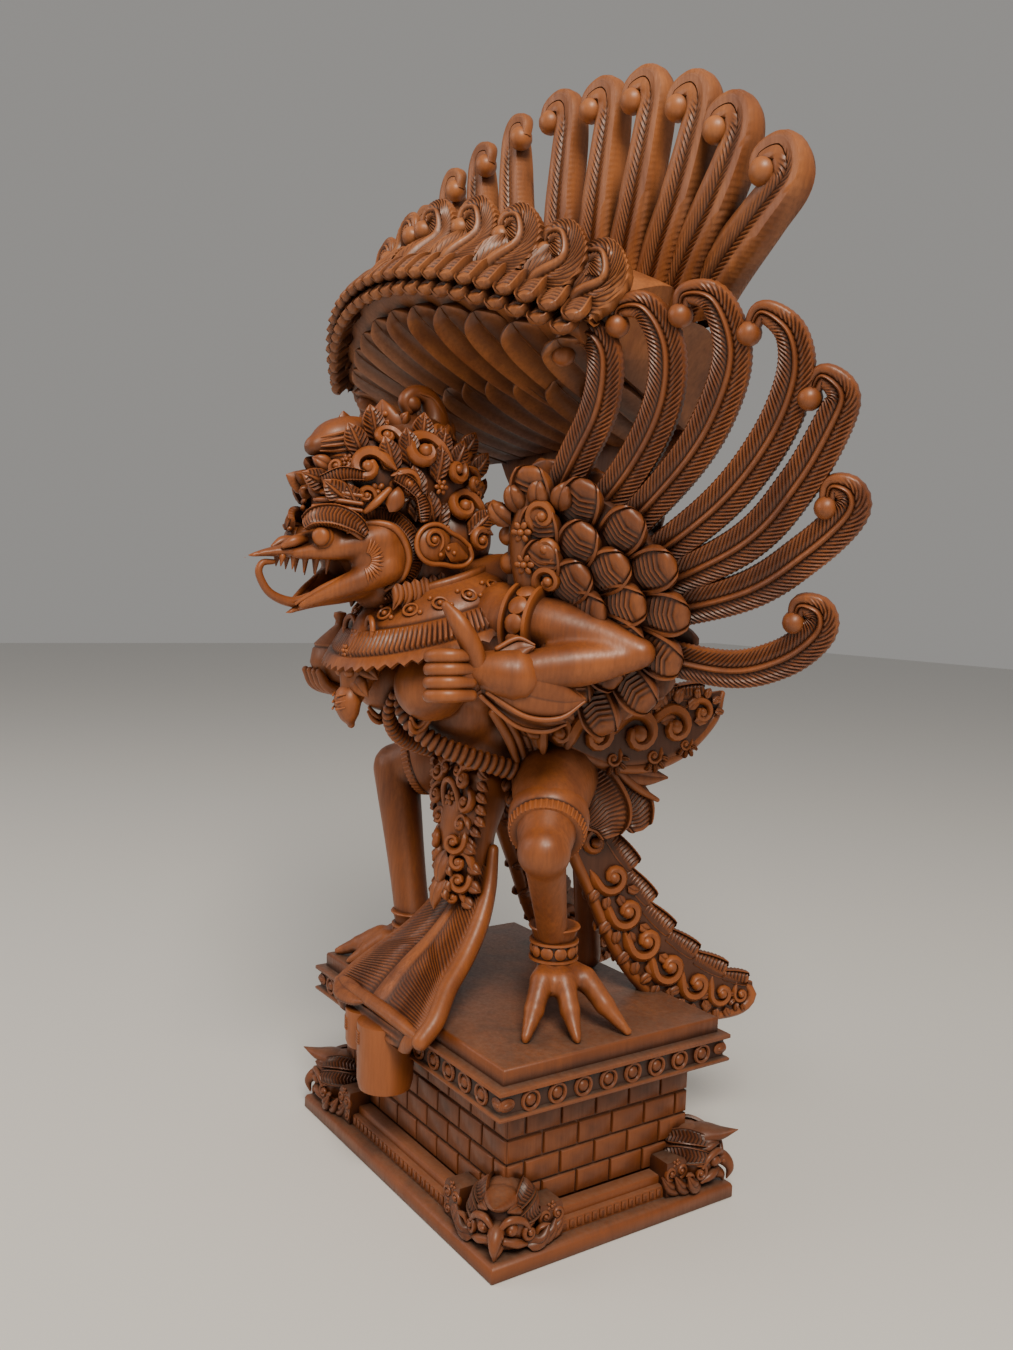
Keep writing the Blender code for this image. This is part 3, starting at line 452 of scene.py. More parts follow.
def wing_feathers(carving):
    """The seven long open feathers of the left wing, each hooked round a ball."""
    front = wing_direction(0, 0, 1)
    for points in WING_FEATHERS:
        line = [in_wing(a, b) for a, b in points]
        half = FEATHER_WIDTH / 2
        widths = [half * share for share in (0.92, 1.0, 1.0, 0.92, 0.72, 0.50, 0.34)]
        blade(carving, line, widths, front, FEATHER_WIDTH * FEATHER_DEPTH * 0.86, WING_BARB, slope=1.15,
              bare=0.95, back=0.6)
        end = in_wing(*points[-1])
        ball(carving, end, units(0.026, 0.026, 0.030), 14, 9, facing(front))


def wing_scale(carving, a, b, angle, lift, back):
    """One scale feather, from its root at (a, b) along an angle of the wing's plane."""
    way = -1 if back else 1
    ahead = (math.cos(angle) * SCALE_LENGTH, math.sin(angle) * SCALE_LENGTH)
    rows = [(a + ahead[0] * s, b + ahead[1] * s, way * (lift + rise))
            for s, rise in ((0, -0.034), (0.35, -0.010), (0.7, 0.010), (0.90, 0.014), (0.97, 0.010),
                            (1.0, 0.006))]
    widths = [SCALE_WIDTH * UNIT * share for share in (0.55, 0.88, 1.0, 0.80, 0.45, 0.12)]
    blade(carving, [in_wing(*row) for row in rows], widths, wing_direction(0, 0, way), 0.034 * UNIT,
          WING_BARB * 1.05, section=SCALE, slope=0.25, bare=0.90, teeth=0.0)


def wing_board(carving):
    """The board that carries the long feathers: rows of scale feathers behind a beaded, scrolled strip."""
    board(carving, [(a * UNIT * 0.97, b * UNIT * 0.97) for a, b in WING_BOARD], wing_frame(1),
          WING_THICKNESS * 0.8)
    for back in (False, True):
        rows = ((0.360, 0.300, 0.030, 8, 84, -62), (0.265, 0.215, 0.036, 7, 78, -66),
                (0.170, 0.140, 0.042, 5, 70, -66))
        for reach, tall, lift, number, high, low in rows:
            for step in range(number):
                angle = math.radians(high + (low - high) * step / (number - 1))
                tip = (0.020 + reach * math.cos(angle), -0.110 + tall * math.sin(angle))
                wing_scale(carving, tip[0] - 0.120 * math.cos(angle), tip[1] - 0.120 * math.sin(angle),
                           angle, lift, back)
    front = wing_direction(0, 0, 1)
    for way in (1, -1):
        strip = [in_wing(a, b, way * 0.030)
                 for a, b in ((0.050, -0.200), (0.022, -0.060), (0.020, 0.060), (0.045, 0.150))]
        rod(carving, strip, units(0.030, 0.034, 0.034, 0.020), 10, 20, relief=0.4)
    for number, b in enumerate((-0.150, -0.075, 0.000, 0.075)):
        flower(carving, in_wing(0.030, b, 0.062), front, 0.026 * UNIT)
        curl(carving, in_wing(0.085, b + 0.036, 0.052), front, wing_direction(-1, -0.4), 0.036 * UNIT,
             hand=-1 if number % 2 else 1, stem=0.6)
    for b, radius in ((-0.082, 0.026), (-0.010, 0.028), (0.055, 0.024), (0.110, 0.018)):
        ball(carving, in_wing(-0.030, b, 0.012), radius * UNIT, 14, 10)
    for a, b, angle in ((0.020, 0.120, 100), (0.070, 0.130, 80), (0.120, 0.125, 66), (-0.010, 0.090, 125)):
        ahead = heading(angle, (1, 0), (0, 1))
        line = [in_wing(a + ahead[0] * s, b + ahead[1] * s, 0.030 + rise)
                for s, rise in ((0, 0), (0.035, 0.02), (0.065, 0.01))]
        blade(carving, line, units(0.026, 0.026, 0.003), front, 0.035 * UNIT, section=LEAF, count=10)


TALL_FEATHERS = ((0.849, 2.434), (0.709, 2.555), (0.587, 2.637),
                 (0.432, 2.700), (0.277, 2.727), (0.111, CROWN))
SHORT_FEATHERS = (0.13, 0.38, 0.60, 0.80, 0.96)


def rim_point(s):
    """The front rim of the tail's canopy, for s from -1 at its right end to 1 at its left end."""
    q = s * s
    return (0.530 * s, -0.435 + 0.175 * q, 2.204 - 0.150 * q)


def stem_point(s):
    """The line across the tail where its plain stem ends and its feathers begin."""
    return (0.425 * s, 0.165 - 0.010 * s * s, 1.905 + 0.025 * (1 - s * s))


def tail_section(s):
    """A section of the canopy from the stem to the rim and back over the top, at share s across it."""
    stem = Vector(stem_point(s))
    rim = Vector(rim_point(s))
    lift = Vector((0, 0, 1))
    under = stem.lerp(rim, 0.55) - lift * 0.035 * (1 - s * s)
    lip = rim + Vector((0.02 * s, 0.015, 0.075))
    ridge = Vector((0.60 * s, -0.17 + 0.10 * s * s, 2.36 - 0.17 * s * s))
    valley = Vector((0.60 * s, -0.03, 2.30 - 0.17 * s * s))
    back = Vector((0.56 * s, 0.115, 2.26 - 0.16 * s * s))
    heel = stem + Vector((0.01 * s, 0.055, 0.02))
    return [at(*p) for p in (stem, under, rim, lip, ridge, valley, back, heel)]


def under_canopy(s, t):
    """A point on the canopy's underside, at share s across it and share t from the stem to the rim."""
    stem, middle, rim = (np.array(p) for p in tail_section(s)[:3])
    return (1 - t) ** 2 * stem + 2 * t * (1 - t) * (2 * middle - 0.5 * (stem + rim)) + t * t * rim


def tail_stem(carving):
    """The plain fan-shaped neck of the tail."""
    levels = ((1.150, 0.050, 0.215), (1.350, 0.060, 0.212), (1.560, 0.085, 0.200), (1.700, 0.190, 0.190),
              (1.820, 0.330, 0.185), (1.945, 0.420, 0.190), (2.020, 0.430, 0.163), (2.100, 0.410, 0.112))
    half = TAIL_THICKNESS / 2 / UNIT
    rings = []
    for z, width, y in levels:
        deep = half if z < 1.6 else half * 1.25
        shape = [(-1, -0.55), (-0.8, -1), (-0.4, -1), (0, -1), (0.4, -1), (0.8, -1), (1, -0.55), (1, 0.55),
                 (0.8, 1), (0.4, 1), (0, 1), (-0.4, 1), (-0.8, 1), (-1, 0.55)]
        rings.append([at(width * a, y + deep * b, z) for a, b in shape])
    rings = np.array([[list(p) for p in ring] for ring in rings])
    fine = np.stack([smooth_rows(rings[:, k], 24) for k in range(rings.shape[1])], axis=1)
    carving.grid(fine, 0.9, ring=True, caps=True)


def canopy(carving):
    """The canopy's own wood, its neck, and the two layers of broad plain feathers on its underside."""
    sections = []
    for s in np.linspace(-1, 1, 41):
        corners = [list(p) for p in tail_section(s)]
        middle = np.mean(corners, axis=0)
        closed = smooth_rows(corners + corners[:1], 49)[:-1]
        sections.append(middle + (closed - middle) * 0.93)
    # Painted shade: the underside, from the stem round to the rim, gets a low relief so the wood paints it
    # darker, as the shade under the canopy.
    reads = np.where(np.arange(48) < 14, 0.35, 0.85)
    carving.grid(np.array(sections), np.tile(reads, (41, 1)), ring=True, caps=True)
    tail_stem(carving)
    down = unit((0.30, 0.25, -1.0))
    for number, (near, far, count, wide) in enumerate(((0.30, 0.97, 11, 0.062), (0.02, 0.58, 9, 0.064))):
        for step in range(count):
            s = -0.93 + 1.86 * step / (count - 1)
            rows = []
            for share in (0, 0.3, 0.6, 0.84, 0.95, 1.0):
                t = near + (far - near) * share
                place = under_canopy(s * (0.84 + 0.14 * t), t)
                rows.append(place + down * UNIT * (0.008 + 0.016 * number + 0.012 * share))
            widths = [wide * UNIT * share for share in (0.72, 0.92, 1.0, 0.92, 0.62, 0.14)]
            blade(carving, rows, widths, down, 0.026 * UNIT, section=SHINGLE, count=34)


def tall_feathers(carving):
    """The twelve tall feathers that stand up from the back of the canopy."""
    front = unit((0, -1, 0.12))
    for x, height in TALL_FEATHERS:
        for side in (1, -1):
            hook = -0.052 * side
            out = 0.020
            rise = height - 2.120
            points = [(x * 0.62 * side, 0.060, 2.120), (x * 0.78 * side, 0.050 - out, 2.120 + rise * 0.30),
                      (x * 0.93 * side, 0.030 - out, 2.120 + rise * 0.55),
                      ((x + 0.010) * side, 0.010, height - 0.085),
                      ((x - 0.002) * side, 0.000, height - 0.028), (x * side + hook, -0.010, height - 0.030),
                      (x * side + hook * 1.15, -0.015, height - 0.066)]
            widths = units(0.074, 0.067, 0.055, 0.043, 0.033, 0.024, 0.018)
            blade(carving, [at(*p) for p in points], widths, front, 0.066 * UNIT, TAIL_BARB, section=FISHBONE,
                  slope=1.3, bare=0.86, teeth=0.06, back=0.6)
            ball(carving, at(x * side + hook * 0.88, -0.016, height - 0.064),
                 units(0.030, 0.030, 0.030), 14, 9, facing(front))


def short_feathers(carving):
    """The ten short feathers that stand up from the rim in an S, and the scale tips along the rim."""
    for s in SHORT_FEATHERS:
        for side in (1, -1):
            x, y, z = rim_point(s)
            top = 2.425 - 0.190 * s * s
            tip = Vector((0.575 * s, -0.335 + 0.130 * s * s, top))
            points = [(x * 0.96, y + 0.020, z - 0.010), (x * 0.99 + 0.010, y + 0.030, z + 0.070),
                      (tip.x + 0.020, tip.y, top - 0.085), (tip.x + 0.008, tip.y, top - 0.026),
                      (tip.x - 0.034, tip.y - 0.008, top - 0.020),
                      (tip.x - 0.046, tip.y - 0.010, top - 0.056)]
            points = [at(px * side, py, pz) for px, py, pz in points]
            front = unit((side * 0.5 * s, -1, 0.35))
            widths = units(0.086, 0.082, 0.058, 0.036, 0.026, 0.018)
            blade(carving, points, widths, front, 0.060 * UNIT, TAIL_BARB * 0.85, slope=1.1, bare=0.93,
                  teeth=0.08, back=0.6)
            ball(carving, points[-1], units(0.026, 0.026, 0.030), 12, 8, facing(front))
    for row, (count, lift, length) in enumerate(((25, 0.060, 0.085), (24, 0.020, 0.075))):
        for step in range(count):
            s = -1 + 2 * (step + 0.5 * row) / 24
            x, y, z = rim_point(s)
            out = unit((0.55 * s, -1.0, -0.35))
            root = np.array(at(x, y + 0.026, z + lift + 0.014))
            drop = unit(out - np.array((0, 0, 0.9)))
            line = [root, root + out * length * 0.35 * UNIT, root + (out * 0.5 + drop * 0.3) * length * UNIT,
                    root + (out * 0.5 + drop * 0.5) * length * UNIT,
                    root + (out * 0.48 + drop * 0.58) * length * UNIT]
            blade(carving, line, units(0.022, 0.028, 0.029, 0.020, 0.006), out + np.array((0, 0, 0.9)),
                  0.034 * UNIT, TAIL_BARB * 0.80, section=SCALE, slope=0.3, bare=0.9, teeth=0)


def plinth_corner(inset, height):
    """Four corners of a level of the plinth."""
    x = PLINTH_WIDTH / 2 - inset
    y = PLINTH_DEPTH / 2 - inset
    return [(-x, -y, height), (x, -y, height), (x, y, height), (-x, y, height)]


def plinth_edges():
    """The plinth's four sides: the middle, the outward direction, the direction along and the half length."""
    x = PLINTH_WIDTH / 2
    y = PLINTH_DEPTH / 2
    rows = ((0, -y, 0, -1, x), (x, 0, 1, 0, y), (0, y, 0, 1, x), (-x, 0, -1, 0, y))
    return [(np.array((mx, my, 0)), np.array((ox, oy, 0)), np.array((-oy, ox, 0)), half)
            for mx, my, ox, oy, half in rows]


def on_wall(side, along, inset, level):
    """The place on one of the plinth's sides, this far along it from its middle, in from it and up."""
    middle, out, way = side[:3]
    return middle + way * along - out * inset + np.array((0, 0, level))


def moulding(carving, levels, soften=0.0004):
    """A stepped block from levels of (inset, height, relief), with its corners slightly worn."""
    rings = []
    reads = []
    for inset, height, relief in levels:
        corners = np.array(plinth_corner(inset, height))
        ring = []
        for number, corner in enumerate(corners):
            before, after = corners[number - 1], corners[(number + 1) % 4]
            ring.append(corner + unit(before - corner) * soften)
            ring.append(corner + unit(after - corner) * soften)
        rings.append(ring)
        reads.append([relief] * 8)
    carving.grid(np.array(rings), np.array(reads), ring=True, caps=True)


# The bricks of the wall, with the gaps between them and between their courses, and the dentils at its foot
BRICK_LENGTH = 0.0185
BRICK_GAP = 0.0012
BED_GAP = 0.0013
BRICK_PROUD = 0.0018
DENTIL_PITCH = 0.0040


def brick(carving, middle, out, along, length, height, proud, tone):
    """One brick of the wall, with softened edges."""
    up = np.array((0, 0, 1.0))
    rows = []
    for grow, rise in ((0.0, 0.0), (0.0, proud * 0.7), (-0.0005, proud), (-length / 2 + 0.0004, proud)):
        half = length / 2 + grow
        tall = max(height / 2 + grow, 0.0004)
        rows.append([middle + along * a * half + up * b * tall + out * rise
                     for a, b in ((-1, -1), (1, -1), (1, 1), (-1, 1))])
    # The foot of each brick gets a low relief, painted darker as shade in the joints; its face takes a tone
    # that varies from brick to brick.
    carving.grid(np.array(rows), np.array([[0.0] * 4, [0.5] * 4, [tone] * 4, [tone] * 4]), ring=True,
                 caps=True)


def bricks(carving, side):
    """The courses of bricks on one wall, every other course set off by half a brick."""
    out, along, half = side[1:]
    run = 2 * (half - WALL_INSET)
    low = BASE_SLAB + 0.0090
    height = (CORNICE_BOTTOM - 0.0042 - low) / COURSES
    for course in range(COURSES):
        start = -run / 2 - (BRICK_LENGTH / 2 if course % 2 else 0)
        while start < run / 2 - 0.002:
            first = max(start, -run / 2)
            last = min(start + BRICK_LENGTH, run / 2)
            place = on_wall(side, (first + last) / 2, WALL_INSET + 0.0014, low + (course + 0.5) * height)
            tone = 0.62 + 0.13 * ((course * 5 + round(start / BRICK_LENGTH * 2) * 3) % 4)
            brick(carving, place, out, along, last - first - BRICK_GAP, height - BED_GAP, BRICK_PROUD, tone)
            start += BRICK_LENGTH


def plinth_block(carving):
    """The slab, the wall and its bricks, the cornice and the plain top."""
    band = (CORNICE_TOP - CORNICE_BOTTOM) / 6
    step = CORNICE_INSET
    wall = WALL_INSET + 0.0010
    # Painted shade: the wall behind the bricks and the cornice's sunk bands get a low relief, so the wood
    # paints them darker.
    moulding(carving,
             ((0.0006, 0.0, 0.8), (0, 0.0006, 1), (0, BASE_SLAB * 0.70, 1), (0.0006, BASE_SLAB * 0.88, 1),
              (0.0024, BASE_SLAB, 0.9), (wall - 0.001, BASE_SLAB, 0.5), (wall, BASE_SLAB + 0.0004, 0.05),
              (wall, CORNICE_BOTTOM - 3.0 * band, 0.0)))
    moulding(carving,
             ((wall + 0.004, CORNICE_BOTTOM - 3 * band, 0.2),
              (WALL_INSET - 0.0012, CORNICE_BOTTOM - 2.0 * band, 0.6),
              (WALL_INSET - 0.0012, CORNICE_BOTTOM - 1.5 * band, 1.0),
              (UNDER_INSET + 0.001, CORNICE_BOTTOM - 1.4 * band, 0.5),
              (UNDER_INSET, CORNICE_BOTTOM - 1.2 * band, 1.0),
              (UNDER_INSET, CORNICE_BOTTOM - 0.25 * band, 1.0), (UNDER_INSET + 0.0012, CORNICE_BOTTOM, 0.2),
              (step + 0.0016, CORNICE_BOTTOM + 0.10 * band, 0.4),
              (step + 0.0002, CORNICE_BOTTOM + 0.35 * band, 1.0), (step, CORNICE_BOTTOM + 0.75 * band, 1.0),
              (step + 0.0006, CORNICE_BOTTOM + band, 0.9),
              (step + band * 0.7, CORNICE_BOTTOM + band * 1.1, 0.3),
              (step + band, CORNICE_BOTTOM + band * 1.3, 0.12),
              (step + band, CORNICE_TOP - band * 1.3, 0.12),
              (step + band * 0.7, CORNICE_TOP - band * 1.1, 0.3), (step + 0.0006, CORNICE_TOP - band, 0.9),
              (step, CORNICE_TOP - band * 0.8, 1.0), (step, CORNICE_TOP - band * 0.2, 1.0),
              (step + 0.0006, CORNICE_TOP, 0.9), (TOP_INSET - 0.0004, CORNICE_TOP + 0.0001, 0.6),
              (TOP_INSET, CORNICE_TOP + 0.0004, 0.3), (TOP_INSET, PLINTH_HEIGHT - 0.0012, 1.0),
              (TOP_INSET + 0.0004, PLINTH_HEIGHT - 0.0003, 1.0), (TOP_INSET + 0.0014, PLINTH_HEIGHT, 1.0),
              (TOP_INSET + 0.0300, PLINTH_HEIGHT, 1.0)))
    for side in plinth_edges():
        bricks(carving, side)


def plinth_frieze(carving):
    """The bosses round the cornice, each a ring about a dome, with an oblong rosette at each corner."""
    face = CORNICE_INSET + (CORNICE_TOP - CORNICE_BOTTOM) / 6
    level = (CORNICE_BOTTOM + CORNICE_TOP) / 2
    for side in plinth_edges():
        out, along, half = side[1:]
        count = 2 * round((half - ROUNDEL_PITCH) / ROUNDEL_PITCH)
        pitch = 2 * (half - ROUNDEL_PITCH) / count
        axes = facing(out)
        for number in range(count):
            place = on_wall(side, (number + 0.5 - count / 2) * pitch, face, level)
            ring = circle(place + out * 0.0005, along, np.array((0, 0, 1)), ROUNDEL * 0.98, 17)
            rod(carving, ring, [0.00085] * 17, sides=6, count=33, ends=False)
            ball(carving, place, (ROUNDEL * 0.68, ROUNDEL * 0.68, 0.0019), 10, 6, axes)
        for end in (-1, 1):
            place = on_wall(side, end * (half - ROUNDEL_PITCH * 0.62), face, level)
            ball(carving, place, (ROUNDEL, ROUNDEL * 0.72, 0.0014), 12, 6, axes, relief=0.8)
            ball(carving, place + out * 0.0009, (ROUNDEL * 0.6, ROUNDEL * 0.36, 0.0010), 10, 6, axes)


def plinth_skirting(carving):
    """The stepped moulding with dentils at the foot of each wall, between blocks with rolled scrolls."""
    up = np.array((0, 0, 1.0))
    for side in plinth_edges():
        out, along, half = side[1:]
        run = half - HEAD_SIZE * 1.1
        for reach, low, high in ((0.0098, 0.0, 0.0052), (0.0066, 0.0052, 0.0088)):
            rows = []
            for grow, level in ((0, low), (0, high - 0.0006), (-0.0006, high)):
                deep = WALL_INSET - reach - grow
                rows.append([on_wall(side, end * run, inset, BASE_SLAB + level)
                             for end, inset in ((-1, WALL_INSET), (-1, deep), (1, deep), (1, WALL_INSET))])
            carving.grid(np.array(rows), 0.8, ring=True, caps=True)
        for number in range(int(run * 2 * 0.9 / DENTIL_PITCH)):
            place = on_wall(side, number * DENTIL_PITCH - run * 0.88, WALL_INSET - 0.0094, BASE_SLAB + 0.0030)
            brick(carving, place, out, along, 0.0024, 0.0036, 0.0012, 0.9)
        for end in (-1, 1):
            place = on_wall(side, end * run * 0.72, WALL_INSET - 0.0060, BASE_SLAB + 0.0080)
            rows = []
            for size, level in ((0.92, -0.0080), (1.0, -0.0072), (1.0, 0.0062), (0.9, 0.0078), (0.5, 0.0084)):
                rows.append([place + along * a * 0.0058 * size + out * b * 0.0058 * size + up * level
                             for a, b in ((-1, -1), (1, -1), (1, 1), (-1, 1))])
            carving.grid(np.array(rows), 0.5, ring=True, caps=True)
            for hand in (-1, 1):
                for rise, way, size in ((0.0030, -1, 0.0032), (-0.0042, 1, 0.0026)):
                    centre = place + along * hand * 0.0030 + out * 0.0052 + up * rise
                    curl(carving, centre, out, up * way, size, 1.1, 0.34, -way * hand, stem=0)
            flower(carving, place + out * 0.0056 + up * 0.0068, out, 0.0024, 5)


def guardian(carving, x_side, y_side):
    """A guardian's head at one corner: a smooth domed brow with a swept crest, round eyes under scrolled
    brows, a hooked beak and leafy locks to both sides."""
    s = HEAD_SIZE
    corner = np.array((x_side * (PLINTH_WIDTH / 2 - s * 0.95), y_side * (PLINTH_DEPTH / 2 - s * 0.95),
                       BASE_SLAB))
    out = unit((x_side, y_side, 0))
    across = np.array((-out[1], out[0], 0))
    up = np.array((0, 0, 1.0))
    axes = np.array([across, up, out])

    def spot(a, b, c):
        return corner + (across * a + up * b + out * c) * s

    def sizes(*shares):
        return [s * share for share in shares]

    ball(carving, spot(0, 0.72, 0), sizes(0.84, 0.84, 0.84), 18, 12, axes, relief=0.8)
    ball(carving, spot(0, 0.30, 0.05), sizes(0.72, 0.42, 0.75), 14, 8, axes, relief=0.5)
    crest = [spot(0, 1.12, -0.05), spot(0, 1.28, 0.45), spot(0, 1.36, 0.95), spot(0, 1.50, 1.38)]
    rod(carving, crest, sizes(0.52, 0.46, 0.26, 0.03), 12, 18, hint=up, flat=0.62)
    for lean in (-72, -40, 40, 72):
        line = []
        for turn in (38, 62, 90, 118, 136):
            high, aside = heading(lean, (1, 0), (0, 1)) * 0.86 * math.sin(math.radians(turn))
            line.append(spot(aside, 0.72 + high, 0.86 * math.cos(math.radians(turn))))
        blade(carving, line, sizes(0.10, 0.20, 0.25, 0.20, 0.03),
              heading(lean, up, across), s * 0.17, s * 0.105, section=SCALE, slope=0.4)
    for hand in (-1, 1):
        lobe = [spot(hand * 0.42, 1.00, 0.10), spot(hand * 0.40, 1.14, 0.55), spot(hand * 0.26, 1.20, 0.90)]
        blade(carving, lobe, sizes(0.20, 0.20, 0.03), across * hand + up, s * 0.22, section=LEAF, count=12)
        ball(carving, spot(hand * 0.34, 0.72, 0.78), s * 0.17, 10, 8, axes)
        ball(carving, spot(hand * 0.34, 0.72, 0.92), s * 0.07, 8, 6, axes)
        brow = [spot(hand * 0.10, 0.80, 0.98), spot(hand * 0.30, 0.98, 0.88), spot(hand * 0.58, 0.90, 0.66),
                spot(hand * 0.74, 0.66, 0.50)]
        rod(carving, brow, sizes(0.07, 0.10, 0.09, 0.05), 8, 14)
        curl(carving, spot(hand * 0.72, 0.50, 0.42), across * hand + out * 0.8, up, s * 0.22, 1.1, 0.34, hand)
        cheek = [spot(hand * 0.20, 0.42, 0.86), spot(hand * 0.46, 0.34, 0.72), spot(hand * 0.66, 0.22, 0.48)]
        rod(carving, cheek, sizes(0.10, 0.12, 0.06), 8, 12)
        for number in range(3):
            lock = [spot(hand * (0.62 + 0.16 * number), 0.16, 0.34 - 0.22 * number),
                    spot(hand * (0.98 + 0.14 * number), 0.24, 0.26 - 0.30 * number),
                    spot(hand * (1.16 + 0.12 * number), 0.58, 0.12 - 0.34 * number)]
            blade(carving, lock, sizes(0.20, 0.19, 0.03), across * hand + out * 0.4 + up * 0.3, s * 0.26,
                  section=LEAF, count=12)
        curl(carving, spot(hand * 1.02, 0.36, 0.16), across * hand * 0.5 + out, up, s * 0.20, 1.1, 0.34, hand)
    beak = [spot(0, 0.70, 0.70), spot(0, 0.66, 1.02), spot(0, 0.42, 1.22), spot(0, 0.10, 1.16)]
    rod(carving, beak, sizes(0.22, 0.20, 0.13, 0.03), 10, 18)
    for hand in (-1, 1):
        ball(carving, spot(hand * 0.12, 0.64, 1.04), s * 0.09, 8, 6, axes)
    chin = [spot(0, 0.28, 0.80), spot(0, 0.18, 0.98), spot(0, 0.06, 1.04)]
    rod(carving, chin, sizes(0.20, 0.14, 0.05), 8, 10)


def plinth_guardians(carving):
    """The four guardians' heads."""
    for x_side in (-1, 1):
        for y_side in (-1, 1):
            guardian(carving, x_side, y_side)


def blended(carving, name, voxel=0.0016, rounds=3):
    """The gathered solids as one smooth skin, with soft joins where they meet."""
    mesh = carving.mesh(name)
    solid = bmesh.new()
    solid.from_mesh(mesh)
    bmesh.ops.remove_doubles(solid, verts=solid.verts, dist=0.00001)
    bmesh.ops.recalc_face_normals(solid, faces=solid.faces)
    solid.to_mesh(mesh)
    solid.free()
    obj = bpy.data.objects.new(name, mesh)
    bpy.context.scene.collection.objects.link(obj)
    step = obj.modifiers.new("skin", "REMESH")
    step.mode = "VOXEL"
    step.voxel_size = voxel
    step = obj.modifiers.new("soften", "SMOOTH")
    step.factor = 0.5
    step.iterations = rounds
    graph = bpy.context.evaluated_depsgraph_get()
    made = bpy.data.meshes.new_from_object(obj.evaluated_get(graph))
    bpy.data.objects.remove(obj)
    bpy.data.meshes.remove(mesh)
    made.name = name
    keep_relief(made, np.ones(len(made.vertices)))
    return made


def surface_of(*meshes):
    """A tree that finds where a ray meets these meshes."""
    made = bmesh.new()
    for mesh in meshes:
        made.from_mesh(mesh)
    tree = BVHTree.FromBMesh(made)
    made.free()
    return tree


def on_side(surface, side, y, z, lift=0.0):
    """The place on a surface seen from one side at (y, z) of the drawing, raised by lift, and its facing."""
    start = Vector((0.6 * side * UNIT, *at(0, y, z)[1:]))
    place, normal = surface.ray_cast(start, Vector((-side, 0, 0)))[:2]
    if place is None:
        place, normal = at(0.03 * side, y, z), Vector((side, 0, 0))
    return np.array(place + normal * lift * UNIT), np.array(normal)


def over(surface, side, places, lift):
    """Places on a surface seen from one side, raised by lift, one for each (y, z)."""
    return [on_side(surface, side, y, z, lift)[0] for y, z in places]


def lump(carving, x, y, z, radii, turn=0.0):
    """An ellipsoid in the figure's drawing, turned about X."""
    axes = np.array([(1, 0, 0), (0, math.cos(turn), math.sin(turn)), (0, -math.sin(turn), math.cos(turn))])
    ball(carving, at(x, y, z), np.array(radii) * UNIT, 20, 14, axes)


def limb(carving, points, radii, side=1, sides=16, count=28, **kinds):
    """A rod in the figure's drawing, on its left side, or on its right side with side -1."""
    rod(carving, [at(x * side, y, z) for x, y, z in points], [r * UNIT for r in radii], sides, count, **kinds)


# The hips, and each leg's knee and ankle
HIP = (0.110, 0.050, 1.080)
LEGS = ((1, (0.365, -0.170, 0.920), (0.250, -0.045, 0.650)),
        (-1, (0.370, -0.165, 1.010), (0.230, -0.172, 0.580)))


def torso(skin):
    """The leaning body, its breasts and shoulders, and the neck."""
    lump(skin, 0, 0.090, 1.080, (0.170, 0.150, 0.145))
    lump(skin, 0, -0.080, 1.185, (0.165, 0.185, 0.150), -0.4)
    lump(skin, 0, -0.185, 1.225, (0.150, 0.160, 0.120))
    lump(skin, 0, -0.165, 1.360, (0.215, 0.150, 0.180), -0.35)
    limb(skin, [(0, 0.060, 1.120), (0, 0.120, 1.260), (0, 0.080, 1.400)], [0.130, 0.110, 0.100])
    limb(skin, [(0, -0.160, 1.400), (0, -0.280, 1.510), (0, -0.350, 1.620)], [0.160, 0.120, 0.112])
    for side in (-1, 1):
        lump(skin, 0.112 * side, -0.340, 1.290, (0.090, 0.090, 0.088))
        lump(skin, 0.220 * side, -0.205, 1.450, (0.100, 0.088, 0.095))


def arm(skin, side):
    """One bare arm, bent back at the elbow."""
    limb(skin,
         [(0.200, -0.215, 1.450), (0.330, -0.190, 1.450), (0.450, -0.115, 1.425), (0.552, -0.062, 1.396)],
         [0.086, 0.070, 0.054, 0.034], side)
    limb(skin,
         [(0.548, -0.064, 1.388), (0.470, -0.160, 1.366), (0.400, -0.262, 1.348), (0.338, -0.350, 1.340)],
         [0.030, 0.050, 0.046, 0.036], side)


def leg(skin, side, knee, ankle, shin, toes):
    """One bent leg with a round knee and a clawed foot of knobbly toes."""
    hip = Vector(HIP)
    knee = Vector(knee)
    ankle = Vector(ankle)
    limb(skin, [hip, hip.lerp(knee, 0.5) + Vector((0, 0, 0.030)), knee], [0.120, 0.100, 0.060], side)
    lump(skin, knee.x * side, knee.y, knee.z, (0.064, 0.064, 0.064))
    limb(skin, [knee, knee.lerp(ankle, 0.3), knee.lerp(ankle, 0.7), ankle],
         [shin * 1.15, shin * 1.02, shin * 0.88, shin * 0.86], side)
    heel = ankle - Vector((0, 0, 0.052))
    lump(skin, heel.x * side, heel.y, heel.z, (0.044, 0.048, 0.042))
    for x, y in toes:
        tip = Vector((x, y, GROUND + 0.008))
        knuckle = heel.lerp(tip, 0.42) + Vector((0, 0, 0.034))
        middle = heel.lerp(tip, 0.70) + Vector((0, 0, 0.016))
        limb(skin, [heel, knuckle, middle, tip], [0.034, 0.030, 0.025, 0.013], side, 10, 16)
        for place, size in ((knuckle, 0.033), (middle, 0.0275)):
            lump(skin, place.x * side, place.y, place.z, (size, size, size))
    spur = heel + Vector((-0.045, 0.075, 0))
    limb(skin, [heel, spur, Vector((spur.x - 0.015, spur.y + 0.030, GROUND + 0.012))], [0.030, 0.024, 0.008],
         side, 10, 14)


